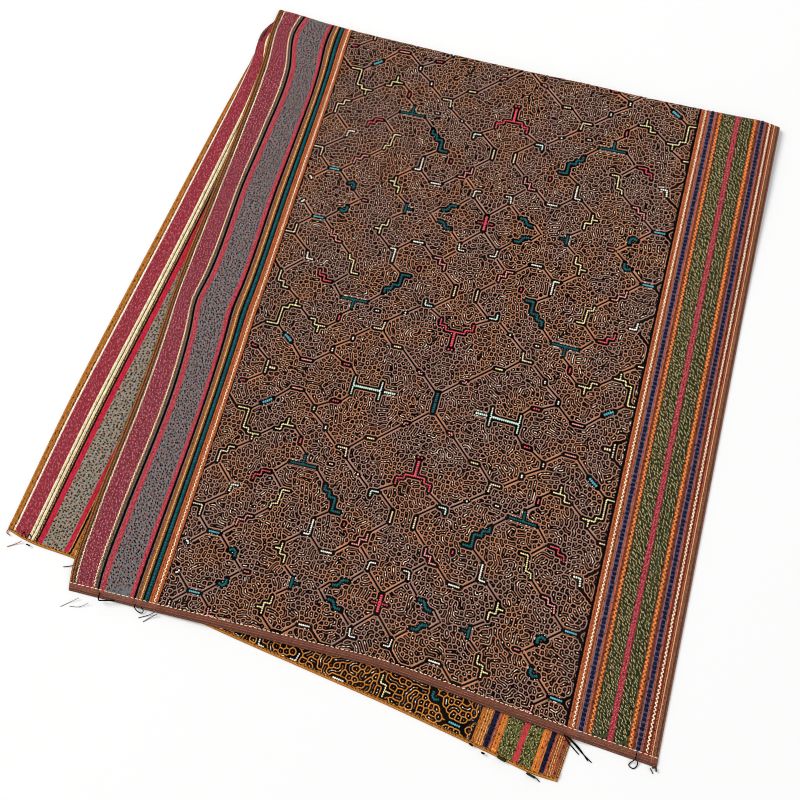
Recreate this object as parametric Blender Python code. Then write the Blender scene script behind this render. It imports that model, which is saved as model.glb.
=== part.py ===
"""An embroidered cotton cloth, folded once across its length and lying on a flat surface.

Metres, +Z up. X runs across the cloth and +Y points from its hems to the fold. The origin is on
the surface that the cloth lies on, under the middle of the folded cloth.

The cloth is first worked out flat. "Across" is the distance from its left edge and "along" is
the distance from the hem of the upper layer. It is then bent round the fold line, which is a
little askew, so the lower layer lies turned to the left under the upper one.
"""

import math
from typing import NamedTuple

import bmesh
import bpy
import numpy as np

# The cloth as it was cut, laid flat
CLOTH_WIDTH = 0.660
CLOTH_LENGTH = 1.556
CLOTH_THICKNESS = 0.0016
HEM_WIDTH = 0.009
HEM_EXTRA = 0.0009
HEM_STEP = 0.002

# The fold line, from the hem of the upper layer, and the bend round it
FOLD_AT_LEFT_EDGE = 0.796
FOLD_AT_RIGHT_EDGE = 0.756
FOLD_RADIUS = 0.0026

# How the upper layer lies on the lower one, and sinks to the surface past its edges
LAYER_GAP = 0.0018
BULGE_REACH = 0.070
SINK_STARTS = 0.006
SINK_LENGTH = 0.026

# How far in from an edge its sway dies out
EDGE_SWAY_REACH = 0.105

# The mesh
COLUMNS = 28
UPPER_ROWS = 28
BEND_ROWS = 8
LOWER_ROWS = 22
SHARP_ANGLE = math.radians(50)

CLOTH_COLOUR = (0.195, 0.082, 0.043, 1.0)
CLOTH_ROUGHNESS = 0.92


class Sway(NamedTuple):
    """At a place along an edge or a fold, how far the cloth is pushed aside."""

    at: float
    by: float


class Rise(NamedTuple):
    """A low swell of the upper layer: its middle, its height and how far it reaches each way."""

    across: float
    along: float
    height: float
    reach_across: float
    reach_along: float


# The dense stitching draws the middle of the cloth in. Places are distances from the left edge.
UPPER_HEM_DRAWN_IN = [
    Sway(at=0.000, by=-0.0010),
    Sway(at=0.100, by=0.0035),
    Sway(at=0.200, by=0.0085),
    Sway(at=0.300, by=0.0130),
    Sway(at=0.350, by=0.0155),
    Sway(at=0.400, by=0.0143),
    Sway(at=0.500, by=0.0080),
    Sway(at=0.600, by=0.0025),
    Sway(at=0.660, by=0.0000),
]
FOLD_DRAWN_IN = [
    Sway(at=0.000, by=-0.0010),
    Sway(at=0.020, by=0.0000),
    Sway(at=0.060, by=0.0034),
    Sway(at=0.100, by=0.0054),
    Sway(at=0.160, by=0.0067),
    Sway(at=0.340, by=0.0074),
    Sway(at=0.420, by=0.0060),
    Sway(at=0.500, by=0.0062),
    Sway(at=0.560, by=0.0050),
    Sway(at=0.620, by=0.0028),
    Sway(at=0.640, by=0.0022),
    Sway(at=0.660, by=0.0055),
]
LOWER_HEM_DRAWN_IN = [
    Sway(at=0.000, by=0.0014),
    Sway(at=0.025, by=-0.0015),
    Sway(at=0.080, by=0.0020),
    Sway(at=0.260, by=-0.0047),
    Sway(at=0.390, by=-0.0036),
    Sway(at=0.470, by=-0.0027),
    Sway(at=0.590, by=-0.0042),
    Sway(at=0.640, by=-0.0050),
    Sway(at=0.660, by=-0.0023),
]

# The side edges sway outwards. Places are distances from the hem of each layer.
UPPER_LEFT_EDGE_OUT = [
    Sway(at=0.000, by=0.0030),
    Sway(at=0.020, by=0.0060),
    Sway(at=0.100, by=0.0080),
    Sway(at=0.250, by=0.0050),
    Sway(at=0.430, by=0.0070),
    Sway(at=0.500, by=0.0045),
    Sway(at=0.620, by=0.0015),
    Sway(at=0.710, by=0.0015),
    Sway(at=0.765, by=0.0050),
    Sway(at=0.796, by=0.0030),
]
LOWER_LEFT_EDGE_OUT = [
    Sway(at=0.000, by=0.0095),
    Sway(at=0.170, by=0.0155),
    Sway(at=0.310, by=0.0150),
    Sway(at=0.420, by=0.0136),
    Sway(at=0.540, by=0.0124),
    Sway(at=0.616, by=0.0106),
    Sway(at=0.668, by=0.0083),
    Sway(at=0.730, by=0.0044),
    Sway(at=0.760, by=0.0030),
]
LOWER_RIGHT_EDGE_OUT = [
    Sway(at=0.000, by=0.0050),
    Sway(at=0.400, by=0.0020),
    Sway(at=0.800, by=0.0000),
]

# Low swells of the upper layer, where it isn't drawn flat
RISES = [
    Rise(across=0.055, along=0.368, height=0.0016, reach_across=0.050, reach_along=0.022),
    Rise(across=0.050, along=0.705, height=0.0014, reach_across=0.045, reach_along=0.030),
    Rise(across=0.015, along=0.110, height=0.0012, reach_across=0.030, reach_along=0.060),
    Rise(across=0.330, along=0.040, height=0.0013, reach_across=0.120, reach_along=0.050),
    Rise(across=0.250, along=0.360, height=0.0010, reach_across=0.140, reach_along=0.100),
    Rise(across=0.470, along=0.560, height=0.0010, reach_across=0.110, reach_along=0.120),
    Rise(across=0.610, along=0.690, height=0.0014, reach_across=0.060, reach_along=0.050),
]

FOLD_TILT = math.atan2(FOLD_AT_RIGHT_EDGE - FOLD_AT_LEFT_EDGE, CLOTH_WIDTH)
ALONG_FOLD = np.array([math.cos(FOLD_TILT), math.sin(FOLD_TILT)])
PAST_FOLD = np.array([-math.sin(FOLD_TILT), math.cos(FOLD_TILT)])
FOLD_START = np.array([0.0, FOLD_AT_LEFT_EDGE])
HALF_BEND = math.pi / 2 * FOLD_RADIUS
LOWER_HEIGHT = CLOTH_THICKNESS / 2
UPPER_HEIGHT = LOWER_HEIGHT + CLOTH_THICKNESS + LAYER_GAP
BEND_HEIGHT = LOWER_HEIGHT + 2 * FOLD_RADIUS


def smooth_step(start, end, values):
    """0 at start and before, 1 at end and after, and a soft S between them."""
    share = np.clip((values - start) / (end - start), 0, 1)
    return share * share * (3 - 2 * share)


def read_table(rows, places):
    """The sway at each place, on a smooth curve through a table's rows."""
    at, by = np.array(rows).T
    slope = np.gradient(by, at)
    row = np.clip(np.searchsorted(at, places) - 1, 0, len(at) - 2)
    step = at[row + 1] - at[row]
    share = np.clip((places - at[row]) / step, 0, 1)
    rest = 1 - share
    values = by[row] * rest * rest * (1 + 2 * share) + by[row + 1] * share * share * (1 + 2 * rest)
    return values + step * share * rest * (slope[row] * rest - slope[row + 1] * share)


def places_along(fold_at):
    """Where the mesh's rows cross one column of the flat cloth, from the upper hem to the lower."""
    hem = np.array([0.0, HEM_WIDTH, HEM_WIDTH + HEM_STEP])
    half_bend = HALF_BEND / math.cos(FOLD_TILT)
    upper = np.linspace(hem[-1], fold_at - half_bend, UPPER_ROWS + 1)
    bend = np.linspace(fold_at - half_bend, fold_at + half_bend, BEND_ROWS + 1)
    lower = np.linspace(fold_at + half_bend, CLOTH_LENGTH - hem[-1], LOWER_ROWS + 1)
    return np.concatenate([hem[:-1], upper, bend[1:-1], lower, CLOTH_LENGTH - hem[-2::-1]])


def flat_grid():
    """Grids of "across" and "along", one row of the mesh for each row of the grids."""
    columns = np.linspace(0, CLOTH_WIDTH, COLUMNS + 1)
    fold_at = np.interp(columns, (0, CLOTH_WIDTH), (FOLD_AT_LEFT_EDGE, FOLD_AT_RIGHT_EDGE))
    along = np.stack([places_along(place) for place in fold_at], axis=1)
    return np.broadcast_to(columns, along.shape), along


def upper_sway(across, along, fold_at):
    """How far each point of the upper layer is pushed aside, in x and y."""
    share = np.clip(along / fold_at, 0, 1)
    near_left = 1 - smooth_step(0, EDGE_SWAY_REACH, across)
    sideways = -read_table(UPPER_LEFT_EDGE_OUT, along) * near_left
    at_hem = read_table(UPPER_HEM_DRAWN_IN, across)
    return sideways, at_hem * (1 - share) - read_table(FOLD_DRAWN_IN, across) * share


def lower_sway(across, along, fold_at):
    """How far each point of the lower layer is pushed aside, in x and y."""
    from_hem = CLOTH_LENGTH - along
    share = np.clip(from_hem / (CLOTH_LENGTH - fold_at), 0, 1)
    near_left = 1 - smooth_step(0, EDGE_SWAY_REACH, across)
    near_right = smooth_step(CLOTH_WIDTH - EDGE_SWAY_REACH, CLOTH_WIDTH, across)
    sideways = read_table(LOWER_RIGHT_EDGE_OUT, from_hem) * near_right
    sideways -= read_table(LOWER_LEFT_EDGE_OUT, from_hem) * near_left
    lengthwise = -read_table(LOWER_HEM_DRAWN_IN, across) * (1 - share)
    # The layer lies turned over, so its own directions are mirrored in the fold line
    mirror = np.eye(2) - 2 * np.outer(PAST_FOLD, PAST_FOLD)
    x = sideways * mirror[0, 0] + lengthwise * mirror[0, 1]
    y = sideways * mirror[1, 0] + lengthwise * mirror[1, 1]
    return x, y - read_table(FOLD_DRAWN_IN, across) * share


def swells(across, along):
    """The height of the upper layer's low swells."""
    height = np.zeros_like(along)
    for rise in RISES:
        away = ((across - rise.across) / rise.reach_across) ** 2
        away = away + ((along - rise.along) / rise.reach_along) ** 2
        height += rise.height * np.exp(-away)
    return height


def upper_layer_height(across, along, past):
    """The height of the upper layer's middle: on the lower layer, or on the surface past its edges."""
    under_across = across - 2 * past * PAST_FOLD[0]
    under_along = along - 2 * past * PAST_FOLD[1]
    beyond = np.maximum(under_across - CLOTH_WIDTH, under_along - CLOTH_LENGTH)
    sunk = smooth_step(SINK_STARTS, SINK_STARTS + SINK_LENGTH, beyond)
    near_fold = 1 - smooth_step(0, BULGE_REACH, -past - HALF_BEND)
    laid = UPPER_HEIGHT + (BEND_HEIGHT - UPPER_HEIGHT) * near_fold
    laid += swells(across, along) * (1 - near_fold)
    return laid * (1 - sunk) + LOWER_HEIGHT * sunk


def middle_surface(across, along):
    """The points of the folded cloth's middle surface, as a grid of x, y and z."""
    past = (across - FOLD_START[0]) * PAST_FOLD[0] + (along - FOLD_START[1]) * PAST_FOLD[1]
    beside = (across - FOLD_START[0]) * ALONG_FOLD[0] + (along - FOLD_START[1]) * ALONG_FOLD[1]
    fold_at = along - past / PAST_FOLD[1]
    turn = np.clip((past + HALF_BEND) / FOLD_RADIUS, 0, math.pi)
    reach = FOLD_RADIUS * np.sin(turn) - np.maximum(np.abs(past) - HALF_BEND, 0)
    place = FOLD_START + beside[..., None] * ALONG_FOLD + reach[..., None] * PAST_FOLD
    sways = zip(upper_sway(across, along, fold_at), lower_sway(across, along, fold_at))
    swayed = np.stack([np.where(past < 0, upper, lower) for upper, lower in sways], axis=-1)
    height = LOWER_HEIGHT + FOLD_RADIUS * (1 + np.cos(turn))
    height = np.where(turn > 0, height, upper_layer_height(across, along, past))
    return np.concatenate([place + swayed, height[..., None]], axis=-1)


def outward_normals(points):
    """Unit normals of a grid of points, on the side that faces up on the upper layer."""
    down_rows = np.gradient(points, axis=0)
    across_columns = np.gradient(points, axis=1)
    normals = np.cross(across_columns, down_rows)
    return normals / np.linalg.norm(normals, axis=-1, keepdims=True)


def two_faces(across, along):
    """The cloth's outer and inner faces, as grids of points, thicker at the turned hems."""
    points = middle_surface(across, along)
    normals = outward_normals(points)
    from_upper_hem = along
    from_lower_hem = CLOTH_LENGTH - along
    upper_hem = HEM_EXTRA * np.interp(from_upper_hem, (HEM_WIDTH, HEM_WIDTH + HEM_STEP), (1, 0))
    lower_hem = HEM_EXTRA * np.interp(from_lower_hem, (HEM_WIDTH, HEM_WIDTH + HEM_STEP), (1, 0))
    outer = points + normals * (CLOTH_THICKNESS / 2 + upper_hem)[..., None]
    inner = points - normals * (CLOTH_THICKNESS / 2 + lower_hem)[..., None]
    return outer, inner


def centre_on_surface(faces):
    """Moves both faces so that the origin is under the middle of the cloth, on the surface."""
    every_point = np.concatenate([face.reshape(-1, 3) for face in faces])
    low, high = every_point.min(axis=0), every_point.max(axis=0)
    origin = np.array([(low[0] + high[0]) / 2, (low[1] + high[1]) / 2, low[2]])
    return [face - origin for face in faces]


def skin_quads(vertices, flip):
    """Adds the quads of one face of the sheet, turned over where flip is set."""
    for row, next_row in zip(vertices, vertices[1:]):
        for column in range(len(row) - 1):
            corners = [row[column], row[column + 1], next_row[column + 1], next_row[column]]
            yield corners[::-1] if flip else corners


def edge_loop(vertices):
    """The vertices round the rim of one face, in order."""
    down = [row[-1] for row in vertices[1:]]
    back = vertices[-1][-2::-1]
    up = [row[0] for row in vertices[-2:0:-1]]
    return vertices[0] + down + back + up


def closed_sheet(name, outer, inner):
    """One closed body from the sheet's two faces and the wall round its edge."""
    build = bmesh.new()
    faces = [[[build.verts.new(point) for point in row] for row in grid] for grid in (outer, inner)]
    for vertices, flip in zip(faces, (False, True)):
        for corners in skin_quads(vertices, flip):
            build.faces.new(corners)
    outer_rim, inner_rim = (edge_loop(vertices) for vertices in faces)
    for place, corner in enumerate(outer_rim):
        below = inner_rim[place]
        build.faces.new([outer_rim[place - 1], inner_rim[place - 1], below, corner])
    bmesh.ops.recalc_face_normals(build, faces=build.faces)
    mesh = bpy.data.meshes.new(name)
    build.to_mesh(mesh)
    build.free()
    mesh.shade_smooth()
    mesh.set_sharp_from_angle(angle=SHARP_ANGLE)
    return mesh


def cloth_material():
    """Matt brown embroidered cotton."""
    material = bpy.data.materials.new("embroidered_cotton")
    material.use_nodes = True
    shader = material.node_tree.nodes["Principled BSDF"]
    shader.inputs["Base Color"].default_value = CLOTH_COLOUR
    shader.inputs["Roughness"].default_value = CLOTH_ROUGHNESS
    shader.inputs["Metallic"].default_value = 0.0
    return material


def make_cloth():
    """The folded cloth, as one object."""
    outer, inner = centre_on_surface(two_faces(*flat_grid()))
    mesh = closed_sheet("cloth", outer, inner)
    mesh.materials.append(cloth_material())
    cloth = bpy.data.objects.new("cloth", mesh)
    bpy.context.scene.collection.objects.link(cloth)
    return cloth


def main():
    for old in list(bpy.data.objects):
        bpy.data.objects.remove(old)
    make_cloth()


main()
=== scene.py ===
"""The looks of a folded cotton cloth that is covered in embroidery, on a pale floor.

Metres, +Z up, in the frame of the CAD model, with +Y from the hems to the fold. The cloth is
worked out flat, as in the CAD: "across" is the distance from its left edge, and "along" is the
distance from the hem of the upper layer. Every thread is placed on the flat cloth and then bent
round the fold with it. Face A is up on the upper layer, and face B is up on the lower one. The
tables whose names end in _A or _B are of that face.
"""

import math
from itertools import compress
from typing import NamedTuple

import bpy
import numpy as np
from mathutils import Matrix, Vector


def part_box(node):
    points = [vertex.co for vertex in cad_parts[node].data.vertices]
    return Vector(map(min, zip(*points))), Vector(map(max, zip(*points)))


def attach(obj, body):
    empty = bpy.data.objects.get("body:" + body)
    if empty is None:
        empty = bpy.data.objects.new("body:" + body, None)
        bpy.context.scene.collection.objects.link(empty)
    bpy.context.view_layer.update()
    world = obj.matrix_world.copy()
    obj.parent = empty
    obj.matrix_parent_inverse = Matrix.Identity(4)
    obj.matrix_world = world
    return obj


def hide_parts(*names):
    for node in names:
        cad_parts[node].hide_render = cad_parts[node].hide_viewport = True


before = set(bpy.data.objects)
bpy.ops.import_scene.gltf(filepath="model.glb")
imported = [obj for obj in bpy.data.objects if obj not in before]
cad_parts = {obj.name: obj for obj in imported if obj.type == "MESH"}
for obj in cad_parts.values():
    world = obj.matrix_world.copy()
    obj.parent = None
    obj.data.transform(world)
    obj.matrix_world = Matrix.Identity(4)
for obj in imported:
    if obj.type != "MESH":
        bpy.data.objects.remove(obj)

MM = 0.001
FACE_A, FACE_B = 1, -1

# The cloth as it was cut, laid flat
CLOTH_WIDTH = 0.660
CLOTH_LENGTH = 1.556
CLOTH_THICKNESS = 0.0016
HEM_WIDTH = 0.009
HEM_EXTRA = 0.0009
HEM_STEP = 0.002
HEM_LIP = 0.003
EDGE_ROUNDING = 0.0014
EDGE_LEAST_SQUARED = 0.05

# The fold line, from the hem of the upper layer, and the bend round it
FOLD_AT_LEFT_EDGE = 0.796
FOLD_AT_RIGHT_EDGE = 0.756
FOLD_RADIUS = 0.0026

# How the upper layer lies on the lower one, and sinks to the surface past its edges
LAYER_GAP = 0.0018
BULGE_REACH = 0.070
SINK_STARTS = 0.006
SINK_LENGTH = 0.026
EDGE_SWAY_REACH = 0.105


class Sway(NamedTuple):
    """At a place along an edge or a fold, how far the cloth is pushed aside."""

    at: float
    by: float


class Rise(NamedTuple):
    """A low swell of the upper layer: its middle, its height and how far it reaches each way."""

    across: float
    along: float
    height: float
    reach_across: float
    reach_along: float


# The dense stitching draws the middle of the cloth in. Places are distances from the left edge.
UPPER_HEM_DRAWN_IN = [
    Sway(at=0.000, by=-0.0010),
    Sway(at=0.100, by=0.0035),
    Sway(at=0.200, by=0.0085),
    Sway(at=0.300, by=0.0130),
    Sway(at=0.350, by=0.0155),
    Sway(at=0.400, by=0.0143),
    Sway(at=0.500, by=0.0080),
    Sway(at=0.600, by=0.0025),
    Sway(at=0.660, by=0.0000),
]
FOLD_DRAWN_IN = [
    Sway(at=0.000, by=-0.0010),
    Sway(at=0.020, by=0.0000),
    Sway(at=0.060, by=0.0034),
    Sway(at=0.100, by=0.0054),
    Sway(at=0.160, by=0.0067),
    Sway(at=0.340, by=0.0074),
    Sway(at=0.420, by=0.0060),
    Sway(at=0.500, by=0.0062),
    Sway(at=0.560, by=0.0050),
    Sway(at=0.620, by=0.0028),
    Sway(at=0.640, by=0.0022),
    Sway(at=0.660, by=0.0055),
]
LOWER_HEM_DRAWN_IN = [
    Sway(at=0.000, by=0.0014),
    Sway(at=0.025, by=-0.0015),
    Sway(at=0.080, by=0.0020),
    Sway(at=0.260, by=-0.0047),
    Sway(at=0.390, by=-0.0036),
    Sway(at=0.470, by=-0.0027),
    Sway(at=0.590, by=-0.0042),
    Sway(at=0.640, by=-0.0050),
    Sway(at=0.660, by=-0.0023),
]

# The side edges sway outwards. Places are distances from the hem of each layer.
UPPER_LEFT_EDGE_OUT = [
    Sway(at=0.000, by=0.0030),
    Sway(at=0.020, by=0.0060),
    Sway(at=0.100, by=0.0080),
    Sway(at=0.250, by=0.0050),
    Sway(at=0.430, by=0.0070),
    Sway(at=0.500, by=0.0045),
    Sway(at=0.620, by=0.0015),
    Sway(at=0.710, by=0.0015),
    Sway(at=0.765, by=0.0050),
    Sway(at=0.796, by=0.0030),
]
LOWER_LEFT_EDGE_OUT = [
    Sway(at=0.000, by=0.0095),
    Sway(at=0.170, by=0.0155),
    Sway(at=0.310, by=0.0150),
    Sway(at=0.420, by=0.0136),
    Sway(at=0.540, by=0.0124),
    Sway(at=0.616, by=0.0106),
    Sway(at=0.668, by=0.0083),
    Sway(at=0.730, by=0.0044),
    Sway(at=0.760, by=0.0030),
]
LOWER_RIGHT_EDGE_OUT = [
    Sway(at=0.000, by=0.0050),
    Sway(at=0.400, by=0.0020),
    Sway(at=0.800, by=0.0000),
]

# The stripes of the left band wander inside its edges, to the left where "by" is positive.
# Places are distances from the upper hem, and then from the fold.
UPPER_STRIPES_OUT = [
    Sway(at=0.000, by=0.0000),
    Sway(at=0.330, by=0.0000),
    Sway(at=0.368, by=0.0045),
    Sway(at=0.405, by=0.0000),
    Sway(at=0.540, by=0.0010),
    Sway(at=0.610, by=-0.0025),
    Sway(at=0.705, by=-0.0055),
    Sway(at=0.768, by=0.0030),
    Sway(at=0.796, by=-0.0030),
]
LOWER_STRIPES_OUT = [
    Sway(at=0.000, by=-0.0030),
    Sway(at=0.031, by=0.0240),
    Sway(at=0.087, by=0.0130),
    Sway(at=0.137, by=0.0060),
    Sway(at=0.215, by=0.0020),
    Sway(at=0.300, by=0.0000),
    Sway(at=0.800, by=0.0000),
]
UPPER_STRIPES_MIDDLE = 0.045
UPPER_STRIPES_REACH = 0.050
STRIPES_HELD_WITHIN = 0.020
LOWER_STRIPES_PEAK = 0.028

# Low swells of the upper layer, where it isn't drawn flat
RISES = [
    Rise(across=0.055, along=0.368, height=0.0016, reach_across=0.050, reach_along=0.022),
    Rise(across=0.050, along=0.705, height=0.0014, reach_across=0.045, reach_along=0.030),
    Rise(across=0.015, along=0.110, height=0.0012, reach_across=0.030, reach_along=0.060),
    Rise(across=0.330, along=0.040, height=0.0013, reach_across=0.120, reach_along=0.050),
    Rise(across=0.250, along=0.360, height=0.0010, reach_across=0.140, reach_along=0.100),
    Rise(across=0.470, along=0.560, height=0.0010, reach_across=0.110, reach_along=0.120),
    Rise(across=0.610, along=0.690, height=0.0014, reach_across=0.060, reach_along=0.050),
]

FOLD_TILT = math.atan2(FOLD_AT_RIGHT_EDGE - FOLD_AT_LEFT_EDGE, CLOTH_WIDTH)
ALONG_FOLD = np.array([math.cos(FOLD_TILT), math.sin(FOLD_TILT)])
PAST_FOLD = np.array([-math.sin(FOLD_TILT), math.cos(FOLD_TILT)])
FOLD_START = np.array([0.0, FOLD_AT_LEFT_EDGE])
HALF_BEND = math.pi / 2 * FOLD_RADIUS
LOWER_HEIGHT = CLOTH_THICKNESS / 2
UPPER_HEIGHT = LOWER_HEIGHT + CLOTH_THICKNESS + LAYER_GAP
BEND_HEIGHT = LOWER_HEIGHT + 2 * FOLD_RADIUS

# The counts of places at which the cloth's plan is measured
PLAN_COLUMNS = 111
PLAN_ROWS = 1557

# The ground sheet's mesh
GRID_STEP = 0.008
BEND_ROWS = 14
EDGE_PLACES = np.array([0.0, 0.0003, 0.0008, 0.0014, 0.0024])
HEM_PLACES = np.array([0.0036, 0.0060, HEM_WIDTH, HEM_WIDTH + HEM_STEP])
NORMAL_STEP = 0.0002
BAKE_SIDE = 1.6
BAKE_FACE_B = 0.70


# The drape

def smooth_step(start, end, values):
    """0 at start and before, 1 at end and after, and a soft S between them."""
    share = np.clip((values - start) / (end - start), 0, 1)
    return share * share * (3 - 2 * share)


def read_table(rows, places):
    """The sway at each place, on a smooth curve through a table's rows."""
    at, by = np.array(rows).T
    slope = np.gradient(by, at)
    row = np.clip(np.searchsorted(at, places) - 1, 0, len(at) - 2)
    step = at[row + 1] - at[row]
    share = np.clip((places - at[row]) / step, 0, 1)
    rest = 1 - share
    values = by[row] * rest * rest * (1 + 2 * share) + by[row + 1] * share * share * (1 + 2 * rest)
    return values + step * share * rest * (slope[row] * rest - slope[row + 1] * share)


def upper_sway(across, along, fold_at):
    """How far each point of the upper layer is pushed aside, in x and y."""
    share = np.clip(along / fold_at, 0, 1)
    near_left = 1 - smooth_step(0, EDGE_SWAY_REACH, across)
    sideways = -read_table(UPPER_LEFT_EDGE_OUT, along) * near_left
    in_band = np.exp(-2 * ((across - UPPER_STRIPES_MIDDLE) / UPPER_STRIPES_REACH) ** 2)
    in_band = in_band * smooth_step(0, STRIPES_HELD_WITHIN, across)
    sideways -= read_table(UPPER_STRIPES_OUT, along) * in_band
    at_hem = read_table(UPPER_HEM_DRAWN_IN, across)
    return sideways, at_hem * (1 - share) - read_table(FOLD_DRAWN_IN, across) * share


def lower_sway(across, along, fold_at):
    """How far each point of the lower layer is pushed aside, in x and y."""
    from_hem = CLOTH_LENGTH - along
    share = np.clip(from_hem / (CLOTH_LENGTH - fold_at), 0, 1)
    near_left = 1 - smooth_step(0, EDGE_SWAY_REACH, across)
    near_right = smooth_step(CLOTH_WIDTH - EDGE_SWAY_REACH, CLOTH_WIDTH, across)
    sideways = read_table(LOWER_RIGHT_EDGE_OUT, from_hem) * near_right
    sideways -= read_table(LOWER_LEFT_EDGE_OUT, from_hem) * near_left
    inward = across / LOWER_STRIPES_PEAK
    sideways -= read_table(LOWER_STRIPES_OUT, along - fold_at) * inward * np.exp(1 - inward)
    lengthwise = -read_table(LOWER_HEM_DRAWN_IN, across) * (1 - share)
    # The layer lies turned over, so its own directions are mirrored in the fold line
    mirror = np.eye(2) - 2 * np.outer(PAST_FOLD, PAST_FOLD)
    x = sideways * mirror[0, 0] + lengthwise * mirror[0, 1]
    y = sideways * mirror[1, 0] + lengthwise * mirror[1, 1]
    return x, y - read_table(FOLD_DRAWN_IN, across) * share


def swells(across, along):
    """The height of the upper layer's low swells."""
    height = np.zeros_like(along)
    for rise in RISES:
        away = ((across - rise.across) / rise.reach_across) ** 2
        away = away + ((along - rise.along) / rise.reach_along) ** 2
        height += rise.height * np.exp(-away)
    return height


def upper_layer_height(across, along, past):
    """The height of the upper layer's middle: on the lower layer, or on the surface past its edges."""
    under_across = across - 2 * past * PAST_FOLD[0]
    under_along = along - 2 * past * PAST_FOLD[1]
    beyond = np.maximum(under_across - CLOTH_WIDTH, under_along - CLOTH_LENGTH)
    sunk = smooth_step(SINK_STARTS, SINK_STARTS + SINK_LENGTH, beyond)
    near_fold = 1 - smooth_step(0, BULGE_REACH, -past - HALF_BEND)
    laid = UPPER_HEIGHT + (BEND_HEIGHT - UPPER_HEIGHT) * near_fold
    laid += swells(across, along) * (1 - near_fold)
    return laid * (1 - sunk) + LOWER_HEIGHT * sunk


def past_the_fold(across, along):
    """How far each flat place is past the fold line."""
    return (across - FOLD_START[0]) * PAST_FOLD[0] + (along - FOLD_START[1]) * PAST_FOLD[1]


def middle_surface(across, along):
    """The points of the folded cloth's middle surface, as an array of x, y and z."""
    past = past_the_fold(across, along)
    beside = (across - FOLD_START[0]) * ALONG_FOLD[0] + (along - FOLD_START[1]) * ALONG_FOLD[1]
    fold_at = along - past / PAST_FOLD[1]
    turn = np.clip((past + HALF_BEND) / FOLD_RADIUS, 0, math.pi)
    reach = FOLD_RADIUS * np.sin(turn) - np.maximum(np.abs(past) - HALF_BEND, 0)
    place = FOLD_START + beside[..., None] * ALONG_FOLD + reach[..., None] * PAST_FOLD
    sways = zip(upper_sway(across, along, fold_at), lower_sway(across, along, fold_at))
    swayed = np.stack([np.where(past < 0, upper, lower) for upper, lower in sways], axis=-1)
    height = LOWER_HEIGHT + FOLD_RADIUS * (1 + np.cos(turn))
    height = np.where(turn > 0, height, upper_layer_height(across, along, past))
    return np.concatenate([place + swayed, height[..., None]], axis=-1)


def half_thickness(across, along, face):
    """From the cloth's middle to one face: thicker at its turned hem, and rounded at the edges."""
    from_hem = along if face == FACE_A else CLOTH_LENGTH - along
    steps = (HEM_LIP - HEM_STEP / 4, HEM_LIP + HEM_STEP / 4, HEM_WIDTH, HEM_WIDTH + HEM_STEP)
    hem = HEM_EXTRA * np.interp(from_hem, steps, (0, 1, 1, 0))
    from_side = np.minimum(across, CLOTH_WIDTH - across)
    inset = np.minimum(from_side, np.minimum(along, CLOTH_LENGTH - along))
    rounding = 1 - np.clip(inset / EDGE_ROUNDING, 0, 1)
    return (CLOTH_THICKNESS / 2 + hem) * np.sqrt(np.clip(1 - rounding ** 2, EDGE_LEAST_SQUARED, 1))


def cloth_points(across, along, height, face):
    """Points at a height over one face of the cloth, at flat places across and along it."""
    middle = middle_surface(across, along)
    to_right = middle_surface(across + NORMAL_STEP, along) - middle_surface(across - NORMAL_STEP, along)
    to_fold = middle_surface(across, along + NORMAL_STEP) - middle_surface(across, along - NORMAL_STEP)
    normal = np.cross(to_right, to_fold)
    normal /= np.linalg.norm(normal, axis=-1, keepdims=True)
    lift = face * (half_thickness(across, along, face) + height)
    points = middle + lift[..., None] * normal - ORIGIN
    points[..., 2] = np.maximum(points[..., 2], 0)
    return points


def find_origin():
    """Where the CAD model's origin lies, in the coordinates that the flat cloth starts with."""
    columns = np.linspace(0, CLOTH_WIDTH, PLAN_COLUMNS)
    rows = np.linspace(0, CLOTH_LENGTH, PLAN_ROWS)
    points = middle_surface(*np.meshgrid(columns, rows))[..., :2].reshape(-1, 2)
    low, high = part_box("cloth")
    centre = (points.min(axis=0) + points.max(axis=0)) / 2
    cad_centre = (np.array(low)[:2] + np.array(high)[:2]) / 2
    return np.append(centre - cad_centre, 0.0)


ORIGIN = find_origin()


# Objects, and meshes from arrays

def new_object(name, data):
    """A new object, linked into the scene."""
    made = bpy.data.objects.new(name, data)
    bpy.context.scene.collection.objects.link(made)
    return made


class Shape(NamedTuple):
    """Points and faces of some threads. Each array of faces has a material number.

    "thread" gives each point its distance along its thread, in metres, and its side, from -1 to 1.
    """

    points: np.ndarray
    thread: np.ndarray
    faces: list
    materials: list


def joined(shapes):
    """Several shapes' faces and material numbers as they are once the points are in one array."""
    starts = np.cumsum([0] + [len(shape.points) for shape in shapes])
    faces = []
    numbers = []
    for start, shape in zip(starts, shapes):
        for kind, material in zip(shape.faces, shape.materials):
            faces.append(kind + start)
            numbers.append(np.full(len(kind), material))
    return faces, np.concatenate(numbers)


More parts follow.
